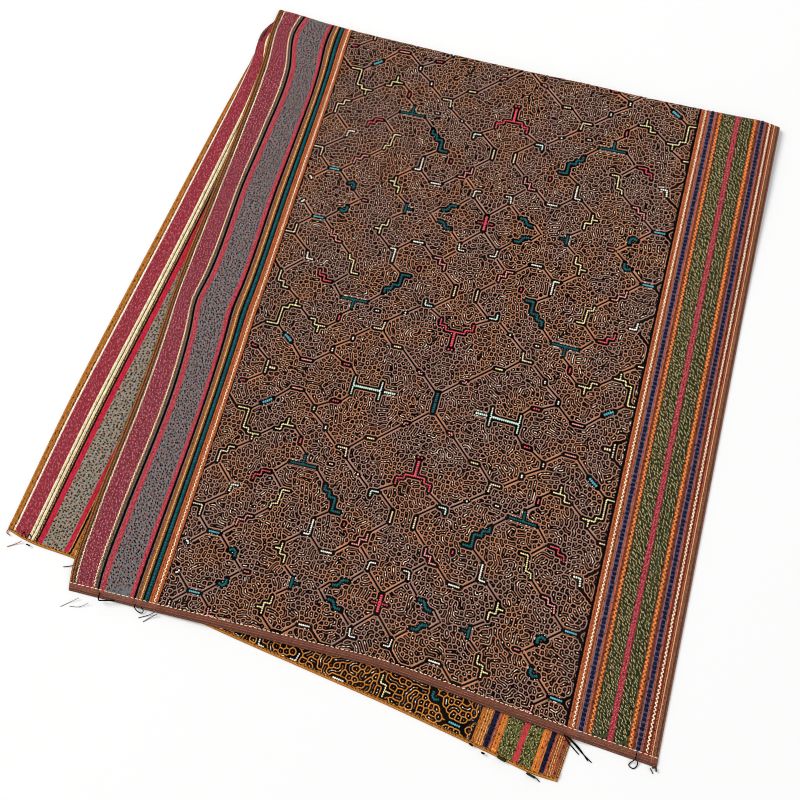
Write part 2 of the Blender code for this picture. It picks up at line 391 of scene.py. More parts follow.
def new_piece(name, shapes, materials):
    """An object made of several shapes, smooth all over."""
    points = np.concatenate([shape.points for shape in shapes])
    faces, material_numbers = joined(shapes)
    corners = np.concatenate([kind.ravel() for kind in faces])
    sizes = np.concatenate([np.full(len(kind), kind.shape[1]) for kind in faces])
    mesh = bpy.data.meshes.new(name)
    mesh.vertices.add(len(points))
    mesh.vertices.foreach_set("co", points.astype(np.float32).ravel())
    mesh.loops.add(len(corners))
    mesh.loops.foreach_set("vertex_index", corners.astype(np.int32))
    mesh.polygons.add(len(sizes))
    mesh.polygons.foreach_set("loop_start", np.append(0, np.cumsum(sizes)[:-1]).astype(np.int32))
    mesh.polygons.foreach_set("material_index", material_numbers.astype(np.int32))
    mesh.update(calc_edges=True)
    mesh.validate()
    mesh.shade_smooth()
    for material in materials:
        mesh.materials.append(material)
    piece = new_object(name, mesh)
    add_map(piece, "thread", np.concatenate([shape.thread for shape in shapes]))
    return piece


def add_map(piece, name, places):
    """A UV map that gives each vertex its place on a flat sheet."""
    mesh = piece.data
    corners = np.empty(len(mesh.loops), dtype=np.int32)
    mesh.loops.foreach_get("vertex_index", corners)
    layer = mesh.uv_layers.new(name=name, do_init=False)
    layer.uv.foreach_set("vector", places[corners].astype(np.float32).ravel())


# The ground sheet

def rows_at(fold_at):
    """Where the ground's rows cross one column of the flat cloth."""
    half_bend = HALF_BEND / math.cos(FOLD_TILT)
    upper_count = int(FOLD_AT_LEFT_EDGE / GRID_STEP)
    lower_count = int((CLOTH_LENGTH - FOLD_AT_LEFT_EDGE) / GRID_STEP)
    hem = np.append(EDGE_PLACES, HEM_PLACES)
    upper = np.linspace(hem[-1], fold_at - half_bend, upper_count)
    bend = np.linspace(fold_at - half_bend, fold_at + half_bend, BEND_ROWS)
    lower = np.linspace(fold_at + half_bend, CLOTH_LENGTH - hem[-1], lower_count)
    return np.concatenate([hem[:-1], upper, bend[1:-1], lower, CLOTH_LENGTH - hem[-2::-1]])


def ground_places():
    """Grids of "across" and "along" for the ground sheet's mesh."""
    count = int(CLOTH_WIDTH / GRID_STEP)
    inner = np.linspace(EDGE_PLACES[-1], CLOTH_WIDTH - EDGE_PLACES[-1], count)
    columns = np.concatenate([EDGE_PLACES[:-1], inner, CLOTH_WIDTH - EDGE_PLACES[-2::-1]])
    fold_at = np.interp(columns, (0, CLOTH_WIDTH), (FOLD_AT_LEFT_EDGE, FOLD_AT_RIGHT_EDGE))
    along = np.stack([rows_at(place) for place in fold_at], axis=1)
    return np.broadcast_to(columns, along.shape), along


def rim_of(numbers):
    """The vertex numbers round the rim of a grid, in order."""
    return np.concatenate([numbers[0], numbers[1:, -1], numbers[-1, -2::-1], numbers[-2:0:-1, 0]])


def ground_shape(across, along):
    """The closed sheet that the threads are stitched to, and its flat places."""
    no_height = np.zeros_like(along)
    top = cloth_points(across, along, no_height, FACE_A).reshape(-1, 3)
    under = cloth_points(across, along, no_height, FACE_B).reshape(-1, 3)
    numbers = np.arange(along.size).reshape(along.shape)
    quads = np.stack([numbers[:-1, :-1], numbers[:-1, 1:], numbers[1:, 1:], numbers[1:, :-1]], axis=-1)
    quads = quads.reshape(-1, 4)
    rim = rim_of(numbers)
    following = np.roll(rim, -1)
    count = along.size
    wall = np.stack([following, rim, rim + count, following + count], axis=-1)
    points = np.concatenate([top, under])
    return Shape(points, np.zeros((len(points), 2)), [quads, quads[:, ::-1] + count, wall], [0, 1, 1])


def make_ground():
    """The cloth's closed sheet, with a map of its flat places and an OFBake map that lays both faces side
    by side.
    """
    across, along = ground_places()
    materials = [ground_material(ground) for ground in (GROUND_A, GROUND_B)]
    piece = new_piece("cloth_ground", [ground_shape(across, along)], materials)
    flat = np.stack([across.ravel(), along.ravel()], axis=-1)
    on_face_b = flat + np.array([BAKE_FACE_B, 0.0])
    add_map(piece, "flat", np.concatenate([flat, flat]))
    add_map(piece, "OFBake", np.concatenate([flat, on_face_b]) / BAKE_SIDE)
    return piece


# Colours of the threads, as they show in daylight

def from_hex(text):
    """A linear colour from a display colour written as six hexadecimal digits."""
    shares = [int(text[place:place + 2], 16) / 255 for place in (0, 2, 4)]
    linear = [share / 12.92 if share <= 0.04045 else ((share + 0.055) / 1.055) ** 2.4 for share in shares]
    return (*linear, 1.0)


THREADS = {
    "black": "0E0C0E",
    "brown": "B47E60",
    # The enclosed lines' thread, which gets painted sheen specks
    "sheen_speckled": "84604E",
    "dark brown": "54382A",
    "umber": "8A5C48",
    "cream": "FFE8C4",
    "white": "FFFAF0",
    "pink": "FFA6A6",
    "crimson": "F05A6C",
    "red": "C44A52",
    "bright red": "D02C40",
    "yellow": "FFF0B4",
    "ochre": "C8823A",
    "orange": "F08C44",
    "sand": "F0BC78",
    "terracotta": "C0683C",
    "teal": "24666E",
    "navy": "181E38",
    "blue": "64BCD0",
    "pale": "DCF4E6",
    "khaki": "B4A878",
    "moss": "262C18",
    "maroon": "AC4652",
    "rose": "D890A0",
    "ash": "8E8E94",
    "sage": "B0A490",
    "rust": "C46A4C",
}
THREAD_NUMBERS = {name: number for number, name in enumerate(THREADS)}


# Stitches

# A grain's points, as shares of its half length, its half width and its height, and its faces
GRAIN_LENGTHS = np.array([-1.0, -0.5, -0.5, -0.5, 0.5, 0.5, 0.5, 1.0])
GRAIN_SIDES = np.array([0.0, -1.0, 0.0, 1.0, -1.0, 0.0, 1.0, 0.0])
GRAIN_HEIGHTS = np.array([-0.1, 0.0, 1.0, 0.0, 0.0, 1.0, 0.0, -0.1])
GRAIN_ENDS = np.array([[0, 2, 1], [0, 3, 2], [0, 1, 3], [7, 4, 5], [7, 5, 6], [7, 6, 4]])
GRAIN_WALLS = np.array([[1, 2, 5, 4], [2, 3, 6, 5], [3, 1, 4, 6]])


class Stitches(NamedTuple):
    """Stitches of one colour: their middles on the flat cloth, directions and sizes, in metres."""

    across: np.ndarray
    along: np.ndarray
    turn: np.ndarray
    length: float
    width: float
    height: float
    colour: str


def grains(stitches, face):
    """Each stitch as a grain of thread that dips into the cloth at both ends."""
    step = stitches.length / 2 * GRAIN_LENGTHS
    side = stitches.width / 2 * GRAIN_SIDES
    cos, sin = np.cos(stitches.turn)[:, None], np.sin(stitches.turn)[:, None]
    across = stitches.across[:, None] + step * sin + side * cos
    along = stitches.along[:, None] + step * cos - side * sin
    across = np.clip(across, 0, CLOTH_WIDTH)
    along = np.clip(along, 0, CLOTH_LENGTH)
    height = np.broadcast_to(stitches.height * GRAIN_HEIGHTS, across.shape)
    points = cloth_points(across, along, height, face).reshape(-1, 3)
    starts = (np.arange(len(across)) * len(GRAIN_LENGTHS))[:, None, None]
    ends = (GRAIN_ENDS + starts).reshape(-1, 3)
    walls = (GRAIN_WALLS + starts).reshape(-1, 4)
    if face == FACE_B:
        ends, walls = ends[:, ::-1], walls[:, ::-1]
    thread = np.tile(np.stack([step, GRAIN_SIDES], axis=-1), (len(stitches.across), 1))
    return Shape(points, thread, [ends, walls], [THREAD_NUMBERS[stitches.colour]] * 2)


def evenly_along(path, pitch):
    """Places and directions at an even pitch along a path on the flat cloth."""
    path = np.array(path, dtype=float)
    steps = np.diff(path, axis=0)
    lengths = np.hypot(*steps.T)
    reached = np.append(0, np.cumsum(lengths))
    count = max(int(round(reached[-1] / pitch)), 1)
    places = (np.arange(count) + 0.5) * reached[-1] / count
    leg = np.clip(np.searchsorted(reached, places) - 1, 0, len(lengths) - 1)
    share = (places - reached[leg]) / lengths[leg]
    middles = path[leg] + share[:, None] * steps[leg]
    return middles, np.arctan2(steps[leg, 0], steps[leg, 1])


# The chart of the field

# One quarter of the repeat is drawn, in millimetres from the field's left edge and from the row of
# red crosses. Its right, lower and upper sides are mirror lines.
FIELD_LEFT, FIELD_RIGHT, FIELD_RIGHT_B = 104.5, 564.0, 568.5
FIELD_AXIS = 345.0
CROSS_ROW = 66.5
TILE = 240.5
CELL = 0.5


class Figure(NamedTuple):
    """A small figure in one colour: half its thread's width, and the corners of its lines."""

    colour: str
    weight: float
    lines: list


class Link(NamedTuple):
    """A straight way that joins two figures: bare black cloth between two brown outlines."""

    start: tuple
    end: tuple


FIGURES = [
    Figure("blue", 1.3, [[(30, 35), (43, 35)]]),
    Figure("white", 1.3, [[(8, 18), (10, 19), (12, 15)]]),
    Figure("cream", 1.0, [[(1, 62), (13, 62), (13, 50)]]),
    Figure("pink", 1.0, [[(58, 48), (59, 56), (66, 56), (67, 62), (74, 62)]]),
    Figure("teal", 1.8, [[(60, 19), (65, 21), (68, 19), (68, 13)]]),
    Figure("yellow", 1.0, [[(90, 76), (91, 82), (97, 83), (98, 100), (107, 100)]]),
    Figure("crimson", 1.0, [[(60, 104), (61, 111), (68, 111), (68, 117), (78, 117)]]),
    Figure("white", 1.3, [[(38, 84), (39, 93), (47, 93)]]),
    Figure("cream", 1.0, [[(13, 115), (13, 129), (21, 129), (21, 136), (28, 136)]]),
    Figure("pink", 1.0, [[(84, 0), (90, 0)]]),
    Figure("yellow", 1.0, [[(110, 34), (116, 34)], [(117, 41), (117, 28), (124, 28), (124, 19)]]),
    Figure("white", 1.2, [[(136, 57), (143, 57), (143, 75)]]),
    Figure("white", 1.2, [[(161, 42), (174, 42)]]),
    Figure("teal", 1.6, [
        [(145, 117), (145, 111), (152, 110), (152, 104), (160, 104), (160, 89), (170, 89)],
    ]),
    Figure("pink", 1.0, [[(192, 58), (200, 58), (200, 65), (207, 65), (207, 73)]]),
    Figure("cream", 1.1, [[(227, 90), (227, 104)]]),
    Figure("white", 1.0, [[(225, 42), (218, 42), (217, 33)]]),
    Figure("teal", 1.8, [[(184, 8), (191, 9), (194, 16), (201, 16)]]),
    Figure("pale", 1.1, [[(197, 115), (197, 122), (206, 122)]]),
    Figure("white", 1.3, [[(176, 137), (178, 137)]]),
    Figure("teal", 1.4, [[(140, 0), (140, 6)], [(140, 0), (148, 0)]]),
    Figure("crimson", 1.0, [[(178, 75), (178, 79)]]),
    Figure("pale", 1.0, [[(142, 229), (142, 240)], [(175, 229), (175, 240)], [(142, 240), (175, 240)]]),
    Figure("pale", 0.9, [[(179, 240), (193, 240)]]),
    Figure("crimson", 1.1, [[(123, 217), (131, 217)]]),
    Figure("white", 1.1, [[(105, 200), (105, 205)]]),
    Figure("pink", 1.0, [[(72, 222), (85, 222)]]),
    Figure("white", 1.1, [[(125, 181), (125, 185)]]),
    Figure("cream", 1.1, [[(145, 164), (156, 164), (157, 154)]]),
    Figure("yellow", 1.1, [[(175, 182), (184, 182)]]),
    Figure("pink", 1.0, [[(212, 206), (213, 209), (217, 209)]]),
    Figure("teal", 1.2, [[(240, 228), (240, 240)]]),
    Figure("crimson", 1.1, [[(221, 135), (221, 143), (229, 144), (229, 149), (240, 149), (240, 168)]]),
    Figure("crimson", 1.3, [[(237, 172), (240, 172)]]),
    Figure("white", 1.0, [[(141, 142), (146, 142)]]),
    Figure("teal", 1.4, [[(97, 134), (128, 134)], [(112, 134), (112, 146)]]),
    Figure("cream", 1.1, [[(34, 232), (34, 240)], [(37, 240), (45, 240)]]),
    Figure("crimson", 1.0, [[(8, 216), (9, 218), (14, 218)]]),
    Figure("blue", 1.8, [[(43, 196), (48, 199), (53, 203)]]),
    Figure("yellow", 1.0, [[(16, 185), (30, 185), (30, 162), (37, 162), (37, 157), (51, 157)]]),
    Figure("yellow", 1.0, [[(44, 157), (44, 149)]]),
    Figure("yellow", 1.0, [[(67, 169), (74, 169), (74, 176), (88, 176)], [(80, 176), (80, 185)]]),
    Figure("crimson", 1.0, [[(101, 158), (101, 164)]]),
    Figure("crimson", 1.2, [[(231, 0), (240, 0), (240, 10)]]),
]

LINKS = [
    Link((28, 33), (14, 20)),
    Link((28, 37), (15, 49)),
    Link((46, 37), (57, 47)),
    Link((46, 33), (58, 22)),
    Link((76, 64), (88, 75)),
    Link((95, 103), (82, 116)),
    Link((35, 96), (17, 113)),
    Link((35, 81), (15, 65)),
    Link((10, 113), (0, 103)),
    Link((70, 10), (81, 0)),
    Link((133, 55), (119, 43)),
    Link((146, 55), (158, 44)),
    Link((145, 78), (157, 87)),
    Link((142, 120), (131, 131)),
    Link((177, 45), (189, 56)),
    Link((210, 76), (224, 89)),
    Link((204, 56), (215, 45)),
    Link((220, 31), (238, 13)),
    Link((214, 30), (204, 20)),
    Link((225, 107), (209, 121)),
    Link((180, 135), (191, 126)),
    Link((206, 126), (219, 134)),
    Link((127, 16), (137, 8)),
    Link((120, 214), (108, 207)),
    Link((88, 220), (103, 207)),
    Link((107, 197), (122, 186)),
    Link((128, 178), (141, 167)),
    Link((159, 167), (172, 180)),
    Link((187, 184), (209, 204)),
    Link((220, 211), (236, 226)),
    Link((160, 151), (173, 140)),
    Link((94, 132), (84, 121)),
    Link((17, 220), (32, 231)),
    Link((40, 193), (33, 187)),
    Link((56, 206), (70, 220)),
    Link((13, 186), (0, 198)),
    Link((53, 159), (64, 168)),
    Link((91, 174), (99, 167)),
    Link((103, 155), (111, 148)),
    Link((43, 147), (31, 138)),
    Link((134, 219), (141, 227)),
    Link((181, 10), (172, 0)),
]


LINE_REACH = 12.0


def near_part(low, high, count):
    """The cells of one side of the tile that lie between two places, or within a line's reach."""
    first = max(int((low - LINE_REACH) / CELL), 0)
    return slice(first, min(int((high + LINE_REACH) / CELL) + 1, count))


def distance_to_lines(lines):
    """The distance from each cell of the tile to the nearest line, where it is near."""
    count = int(TILE / CELL) + 1
    place = np.arange(count) * CELL
    distance = np.full((count, count), TILE)
    for line in lines:
        for (x0, y0), (x1, y1) in zip(line, line[1:]):
            columns = near_part(min(x0, x1), max(x0, x1), count)
            rows = near_part(min(y0, y1), max(y0, y1), count)
            x, y = np.meshgrid(place[columns], place[rows])
            dx, dy = x1 - x0, y1 - y0
            share = np.clip(((x - x0) * dx + (y - y0) * dy) / (dx * dx + dy * dy), 0, 1)
            away = np.hypot(x - x0 - share * dx, y - y0 - share * dy)
            distance[rows, columns] = np.minimum(distance[rows, columns], away)
    return distance


# How far from a figure or a link the net's outline lies, and how far from them the chart holds
OUTLINE_AWAY = 2.8
HELD_AWAY = 4.2

# How much bare cloth is left round them. A link's outlines lie a little closer than a figure's.
FIGURE_CLEARANCE = 1.6
LINK_CLEARANCE = 1.3
LINK_TRIM = 0.9


def charted_tile(pitch):
    """What the chart fixes on one tile: 1 for an outline and -1 between two, where, and what stays bare."""
    from_links = distance_to_lines([(link.start, link.end) for link in LINKS])
    away = from_links + LINK_TRIM
    for figure in FIGURES:
        away = np.minimum(away, distance_to_lines(figure.lines) - figure.weight)
    pattern = np.cos(2 * math.pi / pitch * (away - OUTLINE_AWAY))
    bare = from_links < LINK_CLEARANCE
    for figure in FIGURES:
        bare |= distance_to_lines(figure.lines) < figure.weight + FIGURE_CLEARANCE
    return pattern, away < HELD_AWAY, bare


class Field(NamedTuple):
    """A stretch of the field to fill, in millimetres, with its lines' pitch and its labyrinth's seed."""

    left: float
    right: float
    first: float
    last: float
    pitch: float
    seed: int


def charted_field(field):
    """The chart unfolded over a stretch of the field."""
    charted = charted_tile(field.pitch)
    across = np.arange(field.left, field.right, CELL)
    along = np.arange(field.first, field.last, CELL)
    column = np.clip(((TILE - np.abs(across - FIELD_AXIS)) / CELL).astype(int), 0, len(charted[0]) - 1)
    around = np.mod(along - CROSS_ROW, 2 * TILE)
    row = (np.minimum(around, 2 * TILE - around) / CELL).astype(int)
    pick = np.ix_(row, column)
    return [part[pick] for part in charted]


# Growing the lines between the figures

# A net with small cells and short hooks in it settles out of noise, its lines an even pitch apart
FIRST_NOISE = 0.5
GROWTH = 0.4
SKEW = -1.1
TIME_STEP = 0.6
GROWING_STEPS = 12
LARGEST = 1.3
ENCLOSED_BELOW = -0.15


def grown_lines(field):
    """The pattern of the whole stretch: above zero for the net, and below it for what it encloses."""
    pattern, fixed, bare = charted_field(field)
    up = np.fft.fftfreq(pattern.shape[0])[:, None] * field.pitch / CELL
    right = np.fft.rfftfreq(pattern.shape[1])[None, :] * field.pitch / CELL
    growth = GROWTH - (1 - up * up - right * right) ** 2
    lines = np.random.default_rng(field.seed).normal(0, FIRST_NOISE, pattern.shape)
    for _ in range(GROWING_STEPS):
        lines = np.clip(np.where(fixed, pattern, lines), -LARGEST, LARGEST)
        spectrum = np.fft.rfft2(lines + TIME_STEP * (SKEW * lines ** 2 - lines ** 3))
        lines = np.fft.irfft2(spectrum / (1 - TIME_STEP * growth), s=lines.shape)
    # Neither the net nor what it encloses lies on bare cloth, so its value is between theirs
    lines[bare] = ENCLOSED_BELOW / 2
    return lines


# From the grown pattern to paths of thread

AROUND = [(-1, 0), (-1, 1), (0, 1), (1, 1), (1, 0), (1, -1), (0, -1), (-1, -1)]
SIMPLIFY_WITHIN = 0.17
SHORTEST_SPUR = 3
SMOOTHING_ROUNDS = 4


def neighbours(mask):
    """Eight copies of a mask, each moved so that a cell holds one of its neighbours."""
    return [np.roll(mask, (-down, -right), axis=(0, 1)) for down, right in AROUND]


def thinned(mask):
    """The mask worn down to lines one cell wide, a rim at a time, first from one side."""
    lines = mask.copy()
    lines[[0, -1]] = False
    lines[:, [0, -1]] = False
    before = None
    while before != lines.sum():
        before = lines.sum()
        for side in (0, 1):
            around = neighbours(lines)
            up, right, down, left = around[::2]
            count = sum(cells.astype(np.uint8) for cells in around)
            changes = sum(~cells & following for cells, following in zip(around, around[1:] + around[:1]))
            if side == 0:
                open_side = ~(up & right & down) & ~(right & down & left)
            else:
                open_side = ~(up & right & left) & ~(up & down & left)
            lines &= ~((count >= 2) & (count <= 6) & (changes == 1) & open_side)
    return lines


def cell_links(lines):
    """For each cell of thinned lines, the cells that it is joined to."""
    links = {tuple(cell): set() for cell in np.argwhere(lines).tolist()}
    for down, right in ((0, 1), (1, 0), (1, 1), (1, -1)):
        both = lines & np.roll(lines, (-down, -right), axis=(0, 1))
        if down and right:
            both &= ~np.roll(lines, -down, axis=0) & ~np.roll(lines, -right, axis=1)
        for row, column in np.argwhere(both).tolist():
            following = (row + down, column + right)
            links[(row, column)].add(following)
            links[following].add((row, column))
    return links


def walk(links, branches, start):
    """The cells from a start to the next end or crossing, taken out of the links on the way."""
    path = [start]
    while links[path[-1]]:
        here = path[-1]
        following = min(links[here])
        links[here].discard(following)
        links[following].discard(here)
        path.append(following)
        if branches[following] != 2:
            break
    return path


def cell_paths(lines):
    """Every line from end or crossing to end or crossing: its cells, and which of its ends are loose."""
    links = cell_links(lines)
    branches = {cell: len(others) for cell, others in links.items()}
    ends = [cell for cell, count in branches.items() if count != 2]
    paths = []
    for start in ends + list(links):
        while links[start]:
            path = walk(links, branches, start)
            loose = [branches[cell] == 1 for cell in (path[0], path[-1])]
            if sum(loose) != 1 or len(path) > SHORTEST_SPUR:
                paths.append((path, *loose))
    return paths


def smoothed(path):
    """A path with its steps rounded off, between ends that stay where they are."""
    for _ in range(SMOOTHING_ROUNDS):
        path[1:-1] = (path[:-2] + 2 * path[1:-1] + path[2:]) / 4
    return path


def simplified(path):
    """A path's corners alone, where the rest lies straight between them."""
    if len(path) < 3:
        return path
    chord = path[-1] - path[0]
    from_start = path - path[0]
    length = np.hypot(*chord)
    if length > CELL:
        away = np.abs(chord[0] * from_start[:, 1] - chord[1] * from_start[:, 0]) / length
    else:
        away = np.hypot(*from_start.T)
    corner = int(away.argmax())
    if away[corner] < SIMPLIFY_WITHIN:
        return path[[0, -1]]
    return np.concatenate([simplified(path[:corner + 1])[:-1], simplified(path[corner:])])


def drawn_out(path, at_start, at_end, reach):
    """A path whose loose ends reach a little further."""
    for is_loose, end, before in ((at_start, 0, 1), (at_end, -1, -2)):
        if is_loose:
            step = path[end] - path[before]
            path[end] = path[end] + step / np.hypot(*step) * reach
    return path


END_REACH = 0.4
DOT_REACH = np.array([[0.0, -0.55], [0.0, 0.55]])


def thread_paths(field, mask):
    """The paths of the threads along the middles of a mask, on the flat cloth in millimetres."""
    corner = np.array([field.left, field.first])
    lines = thinned(mask)
    paths = []
    for cells, loose_start, loose_end in cell_paths(lines):
        path = np.array(cells, dtype=float)[:, ::-1] * CELL + corner
        path = simplified(smoothed(path))
        paths.append(drawn_out(path, loose_start, loose_end, END_REACH))
    dots = lines & ~np.any(neighbours(lines), axis=0)
    return paths + [cell * CELL + corner + DOT_REACH for cell in np.argwhere(dots)[:, ::-1]]


# Ridges of thread along paths

class Line(NamedTuple):
    """A kind of line in the field: its thread's colour and size, and whether it is of the net."""

    colour: str
    width: float
    height: float
    is_net: bool


# A ridge's cross-section, as shares of its half width and its height
RIDGE_SIDES = np.array([-1.0, 0.0, 1.0])
RIDGE_HEIGHTS = np.array([-0.1, 1.0, -0.1])

# How long a ridge's straight legs may be, in millimetres, and how far from the bend that holds
LONGEST_LEG = 8.0
LONGEST_LEG_ON_BEND = 1.2
BEND_MARGIN = 0.002
SHORTEST_STEP = 1e-9


def with_short_legs(path):
    """A path with long legs cut up, into very short ones where the cloth bends."""
    past = past_the_fold(path[:-1, 0] * MM, path[:-1, 1] * MM)
    on_bend = np.abs(past) < HALF_BEND + BEND_MARGIN
    lengths = np.hypot(*np.diff(path, axis=0).T)
    counts = np.ceil(lengths / np.where(on_bend, LONGEST_LEG_ON_BEND, LONGEST_LEG)).astype(int)
    counts = np.maximum(counts, 1)
    leg = np.repeat(np.arange(len(counts)), counts)
    share = np.concatenate([np.arange(count) / count for count in counts])
    inner = path[leg] + share[:, None] * (path[leg + 1] - path[leg])
    return np.concatenate([inner, path[-1:]])


def directions(points, first, last):
    """The direction of each point of several paths, from the point before to the one after."""
    numbers = np.arange(len(points))
    ahead = points[np.minimum(numbers + 1, last)] - points[np.maximum(numbers - 1, first)]
    return ahead / np.maximum(np.hypot(*ahead.T), SHORTEST_STEP)[:, None]


def ring_walls(starts, sides):
    """Faces from rings of points to the next ring, for the rings whose first points are given."""
    corner = np.arange(sides)
    following = (corner + 1) % sides
    wall = np.stack([corner, following, following + sides, corner + sides], axis=-1)
    return (starts[:, None, None] + wall).reshape(-1, 4)


def ridge_faces(first, last, face):
    """The walls and the ends of ridges, from the numbers of their first and last rings."""
    sides = len(RIDGE_SIDES)
    corner = np.arange(sides)
    walls = ring_walls(np.delete(np.arange(last[-1] + 1), last) * sides, sides)
    ends = np.concatenate([first[:, None] * sides + corner[::-1], last[:, None] * sides + corner])
    return [walls[:, ::-1], ends[:, ::-1]] if face == FACE_A else [walls, ends]


def ridges(paths, line, face):
    """Low ridges of thread along paths on the flat cloth, and each point's flat place."""
    counts = np.array([len(path) for path in paths])
    last_rings = np.cumsum(counts) - 1
    first_rings = last_rings - counts + 1
    points = np.concatenate(paths) * MM
    first = np.repeat(first_rings, counts)
    ahead = directions(points, first, np.repeat(last_rings, counts))
    side = np.stack([ahead[:, 1], -ahead[:, 0]], axis=-1) * line.width / 2
    flat = points[:, None] + side[:, None] * RIDGE_SIDES[:, None]
    flat = np.clip(flat, 0, (CLOTH_WIDTH, CLOTH_LENGTH))
    heights = np.broadcast_to(line.height * RIDGE_HEIGHTS, flat.shape[:2])
    placed = cloth_points(flat[..., 0], flat[..., 1], heights, face).reshape(-1, 3)
    before = np.maximum(np.arange(len(points)) - 1, first)
    reached = np.cumsum(np.hypot(*(points - points[before]).T))
    reached -= np.repeat(reached[first_rings], counts)
    thread = np.stack(np.broadcast_arrays(reached[:, None], RIDGE_SIDES), axis=-1).reshape(-1, 2)
    faces = ridge_faces(first_rings, last_rings, face)
    return Shape(placed, thread, faces, [THREAD_NUMBERS[line.colour]] * 2), flat.reshape(-1, 2)


UPPER_LINES = [
    Line(colour="brown", width=1.6 * MM, height=0.45 * MM, is_net=True),
    Line(colour="sheen_speckled", width=1.2 * MM, height=0.30 * MM, is_net=False),
]
LOWER_LINES = [
    Line(colour="ochre", width=1.7 * MM, height=0.50 * MM, is_net=True),
    Line(colour="sheen_speckled", width=1.2 * MM, height=0.30 * MM, is_net=False),
]
OUTLINE = Line(colour="brown", width=2.2 * MM, height=0.52 * MM, is_net=True)
UPPER_FIELD = Field(left=FIELD_LEFT, right=FIELD_RIGHT, first=9.5, last=806.0, pitch=4.8, seed=5)
LOWER_FIELD = Field(left=FIELD_LEFT, right=FIELD_RIGHT_B, first=1440.0, last=1553.0, pitch=5.8, seed=8)
MAZE_PIECES = 3


def line_paths(field, line, grown):
    """The paths of one kind of line, with short legs."""
    mask = grown > 0 if line.is_net else grown < ENCLOSED_BELOW
    return [with_short_legs(path) for path in thread_paths(field, mask)]


def middles_of(paths):
    """The middle of each path, in millimetres."""
    return np.array([path.mean(axis=0) for path in paths])


def outline_paths(field):
    """The two straight outlines of every link, unfolded over a stretch of the field."""
    paths = []
    for link in LINKS:
        for side, turn, row in tile_copies(field.first, field.last):
            middle = on_field([link.start, link.end], side, turn, row)
            step = middle[1] - middle[0]
            away = np.array([step[1], -step[0]]) / np.hypot(*step) * (OUTLINE_AWAY - LINK_TRIM)
            for path in (middle + away, middle - away):
                inside = (path > (field.left, field.first)) & (path < (field.right, field.last))
                if inside.all():
                    paths.append(with_short_legs(path))
    return paths


def make_maze(materials):
    """The lines of the upper layer's field, in a few pieces from the hem to the fold."""
    field = UPPER_FIELD
    grown = grown_lines(field)
    strands = [(line, line_paths(field, line, grown)) for line in UPPER_LINES]
    strands.append((OUTLINE, outline_paths(field)))
    made = [[] for _ in range(MAZE_PIECES)]
    for line, paths in strands:
        middles = middles_of(paths)
        kept = past_the_fold(middles[:, 0] * MM, middles[:, 1] * MM) < HALF_BEND
        band = ((middles[:, 1] - field.first) / (field.last - field.first) * MAZE_PIECES).astype(int)
        for number in range(MAZE_PIECES):
            chosen = list(compress(paths, kept & (band == number)))
            made[number].append(ridges(chosen, line, FACE_A))
    pieces = []
    for number, shapes in enumerate(made):
        piece = new_piece(f"maze_{number + 1}", [shape for shape, _ in shapes], materials)
        flat = np.concatenate([places for _, places in shapes])
        low, high = flat.min(axis=0), flat.max(axis=0)
        add_map(piece, "OFBake", (flat - low) / (high - low).max())
        pieces.append(piece)
    return pieces


# The figures of the field

# Each figure is a row of stitches, with a thin gap at its sides. Millimetres, as in the chart.
FIGURE_PITCH = 2.3
FIGURE_TRIM = 0.05
FIGURE_HEIGHT = 0.60 * MM
FIGURE_MARGIN = 2.0


def tile_copies(first, last):
    """How the quarter repeats over the field: the mirrored sides and where each copy's row lies."""
    start = math.floor((first - CROSS_ROW) / (2 * TILE))
    stop = math.ceil((last - CROSS_ROW) / (2 * TILE))
    rows = [CROSS_ROW + 2 * TILE * number for number in range(start, stop + 1)]
    return [(side, turn, row) for side in (-1, 1) for turn in (-1, 1) for row in rows]


def on_field(points, side, turn, row):
    """Chart points placed on the cloth, in millimetres: one mirrored copy of the quarter."""
    points = np.array(points, dtype=float)
    across = FIELD_AXIS + side * (TILE - points[:, 0])
    return np.stack([across, row + turn * points[:, 1]], axis=-1)


def figure_stitches(first, last):
    """The stitches of every figure between two places along the cloth."""
    for figure in FIGURES:
        for side, turn, row in tile_copies(first, last):
            for line in figure.lines:
                middles, turns = evenly_along(on_field(line, side, turn, row), FIGURE_PITCH)
                inside = (middles[:, 1] > first) & (middles[:, 1] < last)
                inside &= (middles[:, 0] > FIELD_LEFT) & (middles[:, 0] < FIELD_RIGHT)
                if inside.any():
                    yield Stitches(
                        across=middles[inside, 0] * MM,
                        along=middles[inside, 1] * MM,
                        turn=turns[inside],
                        length=FIGURE_PITCH * MM,
                        width=(2 * figure.weight - FIGURE_TRIM) * MM,
                        height=FIGURE_HEIGHT,
                        colour=figure.colour,
                    )


def make_figures(materials):
    """The coloured figures of the upper layer's field."""
    stitches = figure_stitches(UPPER_FIELD.first, UPPER_FIELD.last - FIGURE_MARGIN)
    shapes = [grains(some, FACE_A) for some in stitches]
    return new_piece("figures", shapes, materials)


# Materials

class Stripe(NamedTuple):
    """A stripe of a band: where it starts, in millimetres, its colour and its flecks' colour."""

    start: float
    colour: str
    fleck: str


